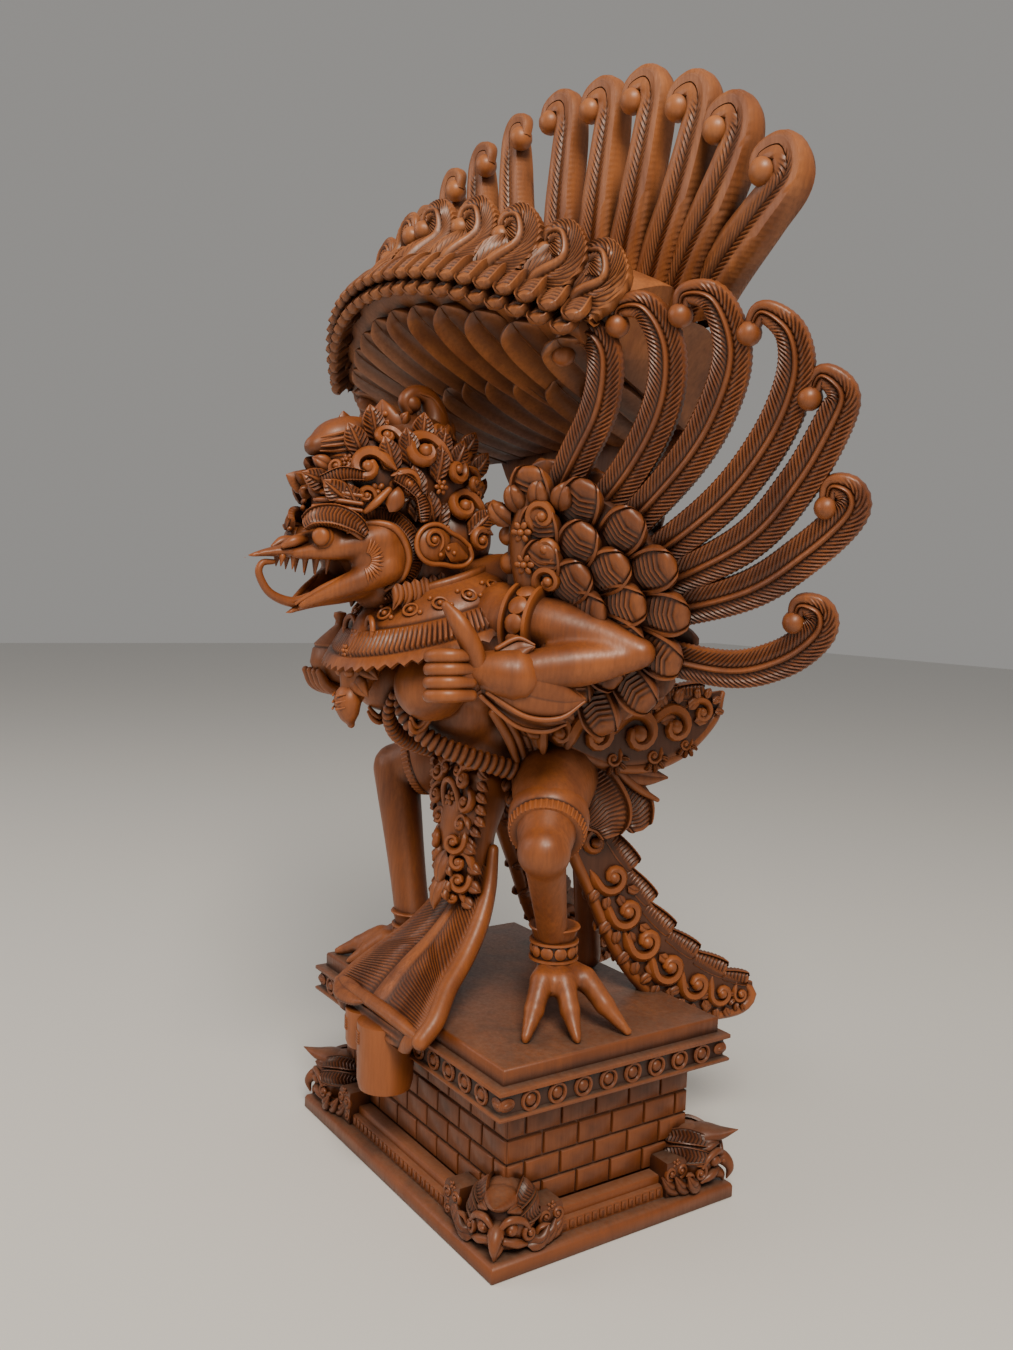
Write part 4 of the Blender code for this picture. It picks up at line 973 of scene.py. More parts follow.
def fingers(carving):
    """The thumb and the curled fingers of both hands."""
    thumb = [(0.352, -0.360, 1.350), (0.360, -0.385, 1.400), (0.352, -0.412, 1.448), (0.330, -0.432, 1.484)]
    limb(carving, thumb, [0.030, 0.029, 0.024, 0.013], 1, 14, 20, hint=(0, -1, 0), flat=0.8)
    for number in range(4):
        z = 1.378 - number * 0.029
        limb(carving,
             [(0.358, -0.380, z), (0.352, -0.432, z), (0.318, -0.456, z - 0.003), (0.284, -0.440, z - 0.006),
              (0.282, -0.405, z - 0.008)], [0.014, 0.0165, 0.0165, 0.0150, 0.011], 1, 12, 22)
        x = -0.364 + number * 0.029
        limb(carving, [(x, -0.300, 1.275), (x, -0.365, 1.240), (x, -0.425, 1.252), (x, -0.452, 1.290)],
             [0.014, 0.0165, 0.0155, 0.010], 1, 12, 20)
    limb(carving, [(-0.285, -0.320, 1.320), (-0.248, -0.360, 1.345), (-0.252, -0.400, 1.372)],
         [0.018, 0.017, 0.010], 1, 12, 14)


def nectar_pot(carving):
    """The round lidded pot of nectar on the right hand, turned as one form."""
    profile = ((0.0, 1.238), (0.030, 1.240), (0.062, 1.268), (0.078, 1.312), (0.072, 1.348), (0.066, 1.354),
               (0.068, 1.362), (0.050, 1.380), (0.028, 1.400), (0.014, 1.412), (0.012, 1.424),
               (0.018, 1.436), (0.016, 1.446), (0.0, 1.450))
    turn = np.arange(28) * 2 * math.pi / 28
    rows = [[at(-0.322 + max(r, 0.0004) * math.cos(t), -0.374 + max(r, 0.0004) * math.sin(t), z)
             for t in turn] for r, z in profile]
    reads = np.array([[0.2 if 1.350 < z < 1.358 else 1.0] * len(turn) for r, z in profile])
    carving.grid(np.array([[list(p) for p in row] for row in rows]), reads, ring=True, caps=True)


def skin():
    """Everything of the figure that is bare: body, arms, legs, the palms of both hands and the rear prop."""
    made = Carving()
    torso(made)
    for side in (-1, 1):
        arm(made, side)
    leg(made, *LEGS[0], 0.046, ((0.359, -0.199), (0.418, -0.092), (0.438, 0.044)))
    leg(made, *LEGS[1], 0.058, ((0.340, -0.310), (0.430, -0.305), (0.440, -0.190)))
    lump(made, 0.330, -0.378, 1.335, (0.040, 0.050, 0.052))
    lump(made, -0.320, -0.320, 1.300, (0.050, 0.046, 0.040))
    limb(made, [(0, 0.120, 1.020), (0, 0.225, 0.900), (0, 0.255, 0.620), (0, 0.262, 0.500)],
         [0.060, 0.048, 0.036, 0.038])
    return blended(made, "figure_body")


def spot(side, x, y, z):
    """A point of the figure's drawing on its left side, or on its right side with side -1."""
    return np.array(at(x * side, y, z))


def drawn(carving, points, widths, face, thick, side=1, **kinds):
    """A blade in the figure's drawing."""
    blade(carving, [spot(side, *p) for p in points], [w * UNIT for w in widths],
          (face[0] * side, face[1], face[2]), thick * UNIT, **kinds)


def face():
    """The bird's face: the skull, both halves of the beak, and the big smooth cheeks."""
    made = Carving()
    lump(made, 0, -0.400, 1.615, (0.100, 0.135, 0.105))
    upper = [(0, -0.470, 1.622), (0, -0.560, 1.612), (0, -0.640, 1.600), (0, -0.714, 1.591),
             (0, -0.770, 1.578)]
    limb(made, upper, [0.088, 0.066, 0.040, 0.020, 0.004], hint=(0, 0, 1), flat=0.50, count=36)
    ridge = [(0, -0.560, 1.640), (0, -0.630, 1.622), (0, -0.664, 1.612)]
    limb(made, ridge, [0.024, 0.018, 0.013])
    lower = [(0, -0.430, 1.535), (0, -0.520, 1.503), (0, -0.600, 1.480), (0, -0.672, 1.450)]
    limb(made, lower, [0.078, 0.056, 0.032, 0.005], hint=(0, 0, 1), flat=0.42, count=36)
    limb(made, [(0, -0.300, 1.560), (0, -0.420, 1.540)], [0.100, 0.085])
    for side in (-1, 1):
        lump(made, 0.080 * side, -0.466, 1.604, (0.054, 0.084, 0.080))
        limb(made,
             [(0.092, -0.470, 1.630), (0.090, -0.530, 1.618), (0.072, -0.590, 1.602),
              (0.036, -0.660, 1.590)], [0.046, 0.036, 0.024, 0.012], side)
        limb(made,
             [(0.096, -0.460, 1.568), (0.088, -0.520, 1.536), (0.062, -0.580, 1.506),
              (0.028, -0.640, 1.472)], [0.044, 0.032, 0.020, 0.009], side)
        lump(made, 0.066 * side, -0.590, 1.628, (0.034, 0.036, 0.034))
    return blended(made, "figure_face", voxel=0.0011)


def face_details(carving, surface):
    """Eyes, pleated brows, pleats behind the mouth, teeth, tongue, cheek frills and ear ornaments."""
    tongue = [(0, -0.600, 1.492), (0, -0.652, 1.479), (0, -0.706, 1.499), (0, -0.733, 1.541),
              (0, -0.726, 1.566), (0, -0.700, 1.570)]
    limb(carving, tongue, [0.013, 0.012, 0.010, 0.009, 0.008, 0.006], 1, 10, 36)
    for side in (-1, 1):
        for number in range(5):
            y = -0.684 + 0.026 * number
            x = 0.016 + 0.005 * number
            deep = (0.022, 0.028, 0.034, 0.040, 0.036)[number]
            limb(carving, [(x, y, 1.583), (x - 0.002, y - 0.003, 1.583 - deep)], [0.0085, 0.0014], side, 8, 6)
        socket = spot(side, 0.070, -0.598, 1.630)
        front = spot(side, 0.092, -0.630, 1.631)
        turned(carving, socket, front,
               ((0, 0.018 * UNIT, 0.2), (0.2, 0.025 * UNIT, 0.8), (0.60, 0.026 * UNIT, 1),
                (0.70, 0.022 * UNIT, 0.1), (0.80, 0.0215 * UNIT, 0.9), (0.98, 0.018 * UNIT, 1),
                (1.08, 0.011 * UNIT, 1), (1.10, 0.004 * UNIT, 1)), 24)
        limb(carving, [(0.030, -0.636, 1.624), (0.034, -0.664, 1.618), (0.030, -0.688, 1.606)],
             [0.009, 0.013, 0.006], side, 10, 14)
        hood = [(0.040, -0.640, 1.656), (0.072, -0.628, 1.674), (0.104, -0.592, 1.676),
                (0.124, -0.556, 1.660), (0.128, -0.530, 1.640)]
        drawn(carving, hood, (0.018, 0.026, 0.028, 0.022, 0.010), (0.7, -0.6, 0.5), 0.026, side, barb=0.0014,
              section=SCALE, slope=0.2, teeth=0.15)
        lid = [(0.050, -0.640, 1.650), (0.090, -0.612, 1.662), (0.116, -0.570, 1.650), (0.122, -0.540, 1.630)]
        limb(carving, lid, [0.007, 0.009, 0.008, 0.005], side, 8, 20)
        for number in range(13):
            ray = heading(-78 + 13 * number, (1, 0), (0, 1.25))
            line = [(-0.526, 1.580) + ray * reach for reach in (0.016, 0.024, 0.033, 0.041)]
            rod(carving, over(surface, side, line, 0.0008), units(0.0030, 0.0040, 0.0032, 0.0010), 6, 8)
        lips = [(0.050, -0.600, 1.586), (0.078, -0.560, 1.600), (0.100, -0.520, 1.598),
                (0.108, -0.505, 1.580), (0.098, -0.520, 1.562), (0.074, -0.556, 1.538),
                (0.048, -0.600, 1.512), (0.020, -0.650, 1.476)]
        limb(carving, lips, [0.007, 0.009, 0.009, 0.009, 0.009, 0.009, 0.008, 0.004], side, 8, 44)
        frill = ((-0.572, 1.656), (-0.545, 1.678), (-0.500, 1.690), (-0.450, 1.676), (-0.414, 1.640),
                 (-0.396, 1.590), (-0.404, 1.545), (-0.424, 1.512), (-0.446, 1.496))
        blade(carving, over(surface, side, frill, 0.006),
              units(0.010, 0.015, 0.018, 0.019, 0.020, 0.019, 0.017, 0.013, 0.005), (side, 0.15, 0.2),
              0.024 * UNIT, 0.0013, section=SCALE, slope=0.15, teeth=0.25)
        rim = ((-0.560, 1.640), (-0.520, 1.662), (-0.470, 1.660), (-0.434, 1.630), (-0.418, 1.588),
               (-0.426, 1.544), (-0.448, 1.514))
        rod(carving, over(surface, side, rim, 0.003), units(0.005, 0.008, 0.009, 0.009, 0.009, 0.008, 0.004),
            8, 36)
        ear(carving, side)
        for number in range(6):
            y = -0.440 + 0.024 * number
            tuft = [(0.108, y, 1.530 + 0.006 * number), (0.116, y + 0.004, 1.500),
                    (0.110, y - 0.006, 1.468 + 0.006 * number)]
            drawn(carving, tuft, (0.013, 0.015, 0.002), (1, -0.3, 0), 0.022, side, section=LEAF, count=10)


def ear(carving, side):
    """A drop-shaped ear ornament with a raised rim and a scroll inside."""
    middle = np.array((0.150, -0.362, 1.624))
    drop = []
    for t in np.linspace(0, 2 * math.pi, 25):
        reach = 0.050 + 0.058 * max(0.0, math.cos((t + 0.28))) ** 6
        drop.append((0.152 - 0.10 * max(0.0, reach - 0.06), middle[1] + reach * math.cos(t),
                     middle[2] + 0.92 * reach * math.sin(t)))
    ball(carving, spot(side, 0.143, -0.362, 1.624), units(0.047, 0.045, 0.020), 18, 10, facing((side, 0, 0)),
         0.7)
    drawn(carving, [(0.146, -0.345, 1.620), (0.148, -0.305, 1.606), (0.142, -0.262, 1.596)],
          (0.038, 0.024, 0.003), (1, 0, 0), 0.026, side, section=PLAIN, count=12)
    rod(carving, [spot(side, *p) for p in drop], [0.0062 * UNIT] * 25, 8, 60, ends=False)
    curl(carving, spot(side, 0.160, -0.372, 1.634), (side, 0, 0), (0, 1, -0.6), 0.026 * UNIT, 1.2, 0.24,
         side, stem=0.5)
    for y, z in ((-0.332, 1.616), (-0.316, 1.606), (-0.352, 1.600)):
        boss(carving, side, (0.162, y, z), 0.006)


def crown_core():
    """The headdress under its ornaments, the bun over the brow and the smooth hair behind."""
    made = Carving()
    lump(made, 0, -0.375, 1.775, (0.124, 0.205, 0.135))
    lump(made, 0, -0.335, 1.870, (0.075, 0.110, 0.070))
    lump(made, 0, -0.245, 1.645, (0.118, 0.114, 0.112))
    limb(made, [(0, -0.600, 1.842), (0, -0.560, 1.862), (0, -0.500, 1.872), (0, -0.440, 1.860)],
         [0.030, 0.050, 0.056, 0.050], flat=0.85, hint=(0, 0, 1))
    lump(made, 0, -0.500, 1.720, (0.098, 0.105, 0.060))
    mesh = blended(made, "figure_crown", voxel=0.0013, rounds=4)
    points = np.empty(len(mesh.vertices) * 3, np.float32)
    mesh.vertices.foreach_get("co", points)
    points = points.reshape(-1, 3)
    # Painted shade: all of the headdress core but the top of the bun and the part below the brow's level gets
    # a low relief, so the wood paints the gaps between the ornaments dark as shade.
    bun = np.array(at(0, -0.490, 1.836))
    bare = np.maximum(ease(0, 0.006, points[:, 2] - bun[2]) * ease(-0.004, 0.002, bun[1] - points[:, 1]),
                      1 - ease(0, 0.006, points[:, 2] - at(0, 0, 1.640)[2]))
    keep_relief(mesh, 0.30 + 0.70 * bare)
    return mesh


# Ornaments on each side of the headdress, placed by (y, z). Scrolls have a size, the way they start in
# degrees up from the front, and the hand they wind to. Flowers have a size, and leaves the way they point.
CROWN_SCROLLS = ((-0.508, 1.790, 0.042, 150, 1), (-0.385, 1.828, 0.050, 150, 1),
                 (-0.262, 1.712, 0.046, 160, 1), (-0.462, 1.856, 0.032, 170, 1),
                 (-0.300, 1.800, 0.034, 130, -1), (-0.318, 1.876, 0.030, 140, 1),
                 (-0.426, 1.760, 0.030, 60, -1), (-0.225, 1.640, 0.030, 120, 1),
                 (-0.560, 1.790, 0.024, 200, -1), (-0.240, 1.780, 0.028, 100, -1),
                 (-0.520, 1.726, 0.022, 180, 1))
CROWN_FLOWERS = ((-0.489, 1.738, 0.024), (-0.426, 1.770, 0.018), (-0.338, 1.760, 0.020),
                 (-0.545, 1.806, 0.017), (-0.305, 1.655, 0.019), (-0.222, 1.745, 0.017),
                 (-0.352, 1.900, 0.016), (-0.446, 1.900, 0.015))
CROWN_LEAVES = ((-0.560, 1.720, 35), (-0.530, 1.700, 60), (-0.590, 1.750, 20), (-0.440, 1.730, 95),
                (-0.400, 1.740, 80), (-0.350, 1.700, 70), (-0.390, 1.700, 100), (-0.300, 1.810, 110),
                (-0.260, 1.840, 120), (-0.340, 1.830, 100), (-0.480, 1.870, 75), (-0.520, 1.830, 60),
                (-0.380, 1.860, 95), (-0.230, 1.800, 125), (-0.200, 1.690, 140), (-0.240, 1.665, 135),
                (-0.320, 1.680, 90), (-0.420, 1.820, 80), (-0.460, 1.800, 70), (-0.350, 1.790, 95))


def small_leaf(carving, side, base, tip, width, face):
    """A pointed leaf between two places of the figure's drawing, with no notches."""
    crest_leaf(carving, spot(side, *base), spot(side, *tip), width, face, False)


def boss(carving, side, place, size, columns=8, rows=6):
    """A round boss at a place of the figure's drawing."""
    ball(carving, spot(side, *place), size * UNIT, columns, rows)


def crest_leaf(carving, base, tip, width, face, barbed=True):
    """A pointed leaf of the headdress, with a fold down its middle and a notched foot."""
    base = np.array(base, float)
    tip = np.array(tip, float)
    along = tip - base
    bulge = unit(face) * np.linalg.norm(along) * 0.10
    blade(carving, [base, base + along * 0.4 + bulge, base + along * 0.75 + bulge * 0.6, tip],
          [width * UNIT * share for share in (0.75, 1.0, 0.62, 0.06)], face, 0.022 * UNIT, section=LEAF,
          count=14)
    if barbed:
        across = unit(np.cross(face, along))
        for hand in (-1, 1):
            for share in (0.15, 0.38):
                root = base + along * share + across * hand * width * UNIT * 0.8
                end = root + along * 0.26 + across * hand * width * UNIT * 0.5
                blade(carving, [root, (root + end) / 2 + bulge * 0.3, end],
                      [width * UNIT * w for w in (0.34, 0.30, 0.04)], face, 0.022 * UNIT, section=LEAF,
                      count=8)


def crown_ornaments(carving, surface):
    """Tiers of scrolls, flowers, leaves and ridged bands over the headdress, its crests and its top curl."""
    for side in (-1, 1):
        for y, z, size, angle, hand in CROWN_SCROLLS:
            place, normal = on_side(surface, side, y, z, 0.012)
            curl(carving, place, normal, heading(angle, (0, -1, 0), (0, 0, 1)), size * UNIT, 1.0, 0.36,
                 hand * side, 0.30)
        for y, z, size in CROWN_FLOWERS:
            place, normal = on_side(surface, side, y, z, 0.010)
            flower(carving, place, normal, size * UNIT)
        for y, z, angle in CROWN_LEAVES:
            place, normal = on_side(surface, side, y, z, 0.006)
            ahead = unit(heading(angle, (0, -1, 0), (0, 0, 1)) + normal * 0.12)
            line = [place + (ahead * reach + normal * rise) * UNIT
                    for reach, rise in ((-0.020, 0), (0.020, 0.006), (0.045, 0.004), (0.068, 0))]
            blade(carving, line, units(0.018, 0.029, 0.021, 0.002), normal, 0.020 * UNIT, 0.0019,
                  slope=0.9, bare=0.95, teeth=0.05)
        petal = [(0.128, -0.474, 1.694), (0.138, -0.462, 1.722), (0.134, -0.452, 1.752)]
        drawn(carving, petal, (0.012, 0.022, 0.003), (1, -0.2, 0.1), 0.026, side, section=PLAIN, count=14)
        fork = [(0.118, -0.528, 1.690), (0.132, -0.508, 1.712), (0.134, -0.478, 1.742)]
        limb(carving, fork, [0.006, 0.010, 0.008], side, 8, 14)
        for ridge in (((0.128, -0.462, 1.774), (0.138, -0.430, 1.758), (0.140, -0.405, 1.735)),
                      ((0.140, -0.402, 1.736), (0.138, -0.388, 1.705), (0.130, -0.382, 1.678)),
                      ((0.060, -0.610, 1.756), (0.092, -0.575, 1.772), (0.112, -0.530, 1.770))):
            drawn(carving, ridge, (0.014, 0.018, 0.012), (1, -0.2, 0.2), 0.024, side, barb=0.0013,
                  section=SCALE, slope=0.1, teeth=0.2)
        for level, swell in ((1.716, 0.000), (1.700, 0.004), (1.734, -0.003)):
            band = [(0.030, -0.612 - swell, level), (0.078, -0.590, level - 0.002),
                    (0.112, -0.535, level - 0.008)]
            limb(carving, band, [0.006, 0.008, 0.005], side, 8, 16)
        for y, z, tip_y, tip_z in ((-0.270, 1.870, -0.244, 1.930), (-0.215, 1.815, -0.178, 1.874),
                                   (-0.185, 1.750, -0.142, 1.802), (-0.170, 1.690, -0.128, 1.735)):
            for x, out in ((0.024, 0.006), (0.078, 0.046)):
                base = spot(side, x, y - out, z - 0.010)
                tip = spot(side, x * 1.15, tip_y - out * 1.2, tip_z - out * 0.35)
                crest_leaf(carving, base, tip, 0.030, (side * (0.9 if out > 0.03 else 0.5), 0.8, 0.1))
                curl(carving, base + (tip - base) * 0.35 + np.array((side * 0.012, 0, 0)) * UNIT,
                     (side, 0.35, 0), (0, -1, 0.4), 0.020 * UNIT, 1.0, 0.36, side)
            boss(carving, side, (0.062, y - 0.010, z - 0.012), 0.014, 10, 7)
        for y, z, tip_y, tip_z in ((-0.585, 1.760, -0.640, 1.776), (-0.575, 1.790, -0.618, 1.812),
                                   (-0.590, 1.730, -0.628, 1.742)):
            small_leaf(carving, side, (0.030, y, z), (0.020, tip_y, tip_z), 0.020, (side * 0.8, -0.5, 0.3))
        for number in range(5):
            line = [(y, 1.818 + 0.010 * number + (y + 0.600) * (0.03 + 0.07 * number))
                    for y in (-0.600, -0.570, -0.535, -0.500)]
            rod(carving, over(surface, side, line, 0.0008), units(0.0016, 0.0042, 0.0046, 0.0016), 6, 14)
    stem = [(0.010, -0.300, 1.880), (0.004, -0.286, 1.930), (0, -0.304, 1.980), (0, -0.342, 1.992),
            (0, -0.370, 1.972), (0, -0.362, 1.948)]
    limb(carving, stem, [0.040, 0.034, 0.025, 0.020, 0.017, 0.016], 1, 14, 40)
    lump(carving, 0, -0.352, 1.964, (0.024, 0.024, 0.024))
    for side in (-1, 1):
        limb(carving,
             [(0.028, -0.288, 1.890), (0.030, -0.276, 1.930), (0.022, -0.300, 1.978),
              (0.018, -0.340, 1.990)], [0.005, 0.006, 0.006, 0.003], side, 8, 20)
    for way in (1, -1):
        crest_leaf(carving, spot(1, 0, -0.405, 1.860), spot(1, 0, -0.432, 1.966), 0.046,
                   (0.6 * way, -0.8 * way, 0.1))
        for y, z, size in ((-0.420, 1.912, 0.012), (-0.404, 1.896, 0.014), (-0.430, 1.930, 0.009)):
            boss(carving, way, (0.016, y, z), size)


def pleated(carving, points, radii, pitch, face, flat=0.7, deep=0.22):
    """A gathered band along a line, swelling between its pleats, flattened towards face."""
    fine = smooth_rows([(*p, r) for p, r in zip(points, radii)], 120)
    length = np.linalg.norm(np.diff(fine[:, :3], axis=0), axis=1).sum()
    count = 4 * max(3, round(length / pitch)) + 1
    rows = smooth_rows(fine, count)
    wave = np.tile([0.0, 0.75, 1.0, 0.75], count // 4 + 1)[:count]
    side, front = frames(rows[:, :3], face)[1:]
    radius = rows[:, 3] * (1 - deep * (1 - wave))
    angles = np.arange(12) * 2 * math.pi / 12
    across = np.cos(angles)[None, :, None] * side[:, None]
    over = np.sin(angles)[None, :, None] * front[:, None] * flat
    points = rows[:, None, :3] + (across + over) * radius[:, None, None]
    carving.grid(points, np.repeat(wave[:, None], 12, axis=1), ring=True, caps=True)


def turned(carving, start, end, profile, columns=36):
    """A form turned about the line from start to end: the share along it, the radius and the relief."""
    start = np.array(start, float)
    end = np.array(end, float)
    side, front = steady_frames(np.array([start, end]))[1:]
    angles = np.arange(columns) * 2 * math.pi / columns
    ring = np.cos(angles)[:, None] * side[0] + np.sin(angles)[:, None] * front[0]
    rows = [start + (end - start) * share + ring * radius for share, radius, reads in profile]
    carving.grid(np.array(rows), [[reads] * columns for share, radius, reads in profile], ring=True,
                 caps=True)


def studded(carving, start, end, radius, discs):
    """A band with a rolled ring at each end and round discs set between them."""
    start = np.array(start, float)
    end = np.array(end, float)
    rim = radius * 1.12
    turned(carving, start, end,
           ((0, radius * 0.90, 0.3), (0.02, rim, 1), (0.14, rim, 1), (0.17, radius * 0.94, 0.1),
            (0.83, radius * 0.94, 0.1), (0.86, rim, 1), (0.98, rim, 1), (1, radius * 0.90, 0.3)))
    tangent, side, front = steady_frames(np.array([start, end]))
    size = np.linalg.norm(end - start) * 0.33
    for number in range(discs):
        out = heading(360 * number / discs, side[0], front[0])
        ball(carving, (start + end) / 2 + out * radius * 0.97, (size, size, radius * 0.13), 12, 6,
             facing(out, tangent[0]))


# How far back the middle of the collar's ring lies, and the point that its ornaments face away from
COLLAR_Y = -0.265
COLLAR_HEART = np.array(at(0, COLLAR_Y, 1.280))


def collar_place(angle, share):
    """A point of the broad collar, at an angle round the neck and a share from its neck to its hem."""
    reach = np.interp(share, (0, 0.35, 1), (0.128, 0.198, 0.283))
    level = np.interp(share, (0, 0.35, 1), (1.562, 1.522, 1.420))
    x = reach * math.cos(angle)
    y = reach * math.sin(angle) * 0.92
    return np.array(at(x, COLLAR_Y + y, level + y * 0.35))


def collar(carving):
    """The broad collar: a rolled neck, circle bosses, a hatched and toothed hem, and the leafy pendant."""
    columns = 378
    shares = (0.0, 0.02, 0.06, 0.10, 0.13, 0.30, 0.52, 0.56, 0.60, 0.68, 0.84, 0.88, 0.92, 1.0, 1.0, 0.5, 0.0)
    lift = (0.2, 0.9, 1.2, 0.9, 0.4, 0.55, 0.55, 0.2, 0.8, 0.8, 0.8, 0.25, 0.75, 0.6, -0.2, -0.4, -0.4)
    sheet = []
    marks = []
    for number in range(columns):
        angle = 2 * math.pi * number / columns
        out = unit(collar_place(angle, 0.9) - COLLAR_HEART)
        column = []
        reads = []
        for row, (share, high) in enumerate(zip(shares, lift)):
            hatched = 9 <= row <= 10 and number % 3 == 0
            tooth = 0.16 * abs((number % 7) - 3.5) / 3.5 if share == 1.0 else 0.0
            place = collar_place(angle, share)
            place = place + (place - collar_place(angle, share - 0.2)) * tooth * 2
            column.append(place + out * (0.016 * high - (0.007 if hatched else 0)) * UNIT)
            # Painted shade: the hatched cuts and the grooves get a low relief, so the wood paints them
            # darker.
            reads.append(0.05 if hatched else (0.15 if high in (0.2, 0.25) else 0.6 + 0.4 * high))
        sheet.append(column)
        marks.append(reads)
    carving.grid(np.swapaxes(np.array(sheet), 0, 1), np.swapaxes(np.array(marks), 0, 1), ring=True)
    for number in range(18):
        angle = 2 * math.pi * (number + 0.5) / 18
        centre = collar_place(angle, 0.40)
        out = unit(centre - COLLAR_HEART)
        centre = centre + out * 0.010 * UNIT
        axes = facing(out)
        rod(carving, circle(centre, *axes[:2], 0.017 * UNIT, 13), [0.0035 * UNIT] * 13, 6, 18, ends=False)
        ball(carving, centre, 0.0075 * UNIT, 8, 6)
        for hand in (-1, 1):
            dot = collar_place(angle + hand * 0.13, 0.30 + 0.16 * (hand > 0)) + out * 0.010 * UNIT
            ball(carving, dot, 0.0065 * UNIT, 8, 5)
    pendant(carving)


def pendant(carving):
    """The leafy pendant on the breast: loops and bosses over leaves that end in a blunt bud."""
    limb(carving, [(0, -0.425, 1.420), (0, -0.470, 1.330), (0, -0.490, 1.262)], [0.060, 0.052, 0.030], 1, 14,
         20)
    limb(carving, [(0, -0.482, 1.285), (0, -0.503, 1.250), (0, -0.500, 1.212), (0, -0.494, 1.190)],
         [0.024, 0.040, 0.030, 0.012], 1, 14, 20, hint=(0, -1, 0), flat=0.8)
    for side in (-1, 1):
        for y, z, reach, angle in ((-0.440, 1.425, 0.090, -10), (-0.465, 1.385, 0.084, 20),
                                   (-0.485, 1.345, 0.074, 35), (-0.495, 1.305, 0.060, 50)):
            base = spot(side, 0.018, y, z)
            tip = base + (heading(angle, (side, 0, 0), (0, 0, -1)) + (0, 0.28, 0)) * reach * UNIT
            crest_leaf(carving, base, tip, 0.024, (side * 0.4, -0.9, 0.2), False)
        ring = [spot(side, 0.050 + 0.024 * math.cos(t), -0.475 - 0.004 * math.cos(t),
                     1.415 + 0.032 * math.sin(t)) for t in np.linspace(0, 2 * math.pi, 15)]
        rod(carving, ring, [0.0075 * UNIT] * 15, 8, 28, ends=False)
        curl(carving, spot(side, 0.040, -0.498, 1.352), (side * 0.5, -0.85, 0.1), (side, 0, 0.2),
             0.024 * UNIT, 1.1, 0.34, side)
        boss(carving, side, (0.024, -0.512, 1.316), 0.014, 10, 7)
        boss(carving, side, (0.062, -0.470, 1.318), 0.012, 10, 7)
        for number in range(3):
            z = 1.258 - 0.016 * number
            limb(carving, [(0.010, -0.538, z), (0.028, -0.524, z + 0.006)], [0.0030, 0.0020], side, 6, 5)
    for z, y, size in ((1.400, -0.492, 0.020), (1.366, -0.515, 0.017), (1.336, -0.526, 0.014)):
        flower(carving, spot(1, 0, y, z), (0, -1, 0.1), size * UNIT)


def belts(carving):
    """The gathered garlands over the belly, the line under each breast, the waist bands and the armlets."""
    for side in (-1, 1):
        garland = [(0.010, -0.372, 1.262), (0.045, -0.368, 1.205), (0.095, -0.318, 1.150),
                   (0.145, -0.235, 1.112), (0.176, -0.130, 1.078), (0.188, -0.025, 1.030)]
        pleated(carving, [spot(side, *p) for p in garland], units(0.014, 0.022, 0.027, 0.028, 0.027, 0.022),
                0.0034, (side, -0.6, -0.3), 0.75, 0.30)
        for out, size in ((0.098, 0.008), (0.112, 0.007)):
            line = []
            for angle in range(-20, 131, 15):
                turn = math.radians(angle)
                line.append((0.112 + 0.35 * out - 0.5 * out * math.sin(turn),
                             -0.345 + out * 0.5 * math.cos(turn) * 0.7 - 0.022,
                             1.288 - out * math.sin(turn)))
            limb(carving, line, [size * 0.6, *[size] * (len(line) - 2), size * 0.6], side, 8, 40)
        for offset in (0.0, 0.026, 0.052):
            waist = [(0.172, -0.200 + offset, 1.225), (0.182, -0.160 + offset, 1.165),
                     (0.182, -0.130 + offset, 1.105)]
            limb(carving, waist, [0.010, 0.012, 0.009], side, 8, 16)
        studded(carving, spot(side, 0.283, -0.208, 1.452), spot(side, 0.350, -0.178, 1.446), 0.085 * UNIT, 12)
        strap = [(0.090, -0.210, 1.560), (0.160, -0.160, 1.560), (0.205, -0.130, 1.510),
                 (0.225, -0.120, 1.450)]
        limb(carving, strap, [0.040, 0.050, 0.052, 0.044], side, 14, 24)
        cuff(carving, side)


def cuff(carving, side):
    """A leaf cuff that wraps the wrist and flares back below the forearm as two pointed lobes."""
    wrap = [(0.350, -0.352, 1.348), (0.372, -0.318, 1.342), (0.392, -0.285, 1.338)]
    limb(carving, wrap, [0.040, 0.053, 0.060], side, 16, 16)
    lobes = ((((0.372, -0.345, 1.330), (0.420, -0.275, 1.298), (0.452, -0.205, 1.284),
               (0.472, -0.152, 1.286)), (0.036, 0.056, 0.044, 0.004), (0.75, -0.45, -0.25)),
             (((0.352, -0.350, 1.315), (0.388, -0.280, 1.266), (0.418, -0.220, 1.242),
               (0.440, -0.178, 1.232)), (0.030, 0.046, 0.034, 0.004), (0.6, -0.5, -0.6)),
             (((0.380, -0.330, 1.372), (0.400, -0.290, 1.392), (0.425, -0.262, 1.404)),
              (0.026, 0.030, 0.003), (0.6, -0.6, 0.5)))
    for line, widths, face in lobes:
        drawn(carving, line, widths, face, 0.020, side, section=LEAF, count=20)
        rim = [np.array(p) + (0, 0, w * 0.9) for p, w in zip(line, widths)]
        limb(carving, rim, [0.006] * (len(rim) - 1) + [0.003], side, 8, 20)
        rim = [np.array(p) - (0, 0, w * 0.9) for p, w in zip(line, widths)]
        limb(carving, rim, [0.006] * (len(rim) - 1) + [0.003], side, 8, 20)


def panel(side, start, heading):
    """A cloth panel's frame: a function from along its heading, up and out to the statue, and its axes."""
    along = unit((heading[0], heading[1], 0))
    axes = np.array([along, (0, 0, 1), np.cross(along, (0, 0, 1))]) * (side, 1, 1)
    origin = spot(side, start[0], start[1], GROUND)

    def place(s, z, out=0.0):
        return origin + (s * axes[0] + (z - GROUND) * axes[1] + out * axes[2]) * UNIT

    return place, axes


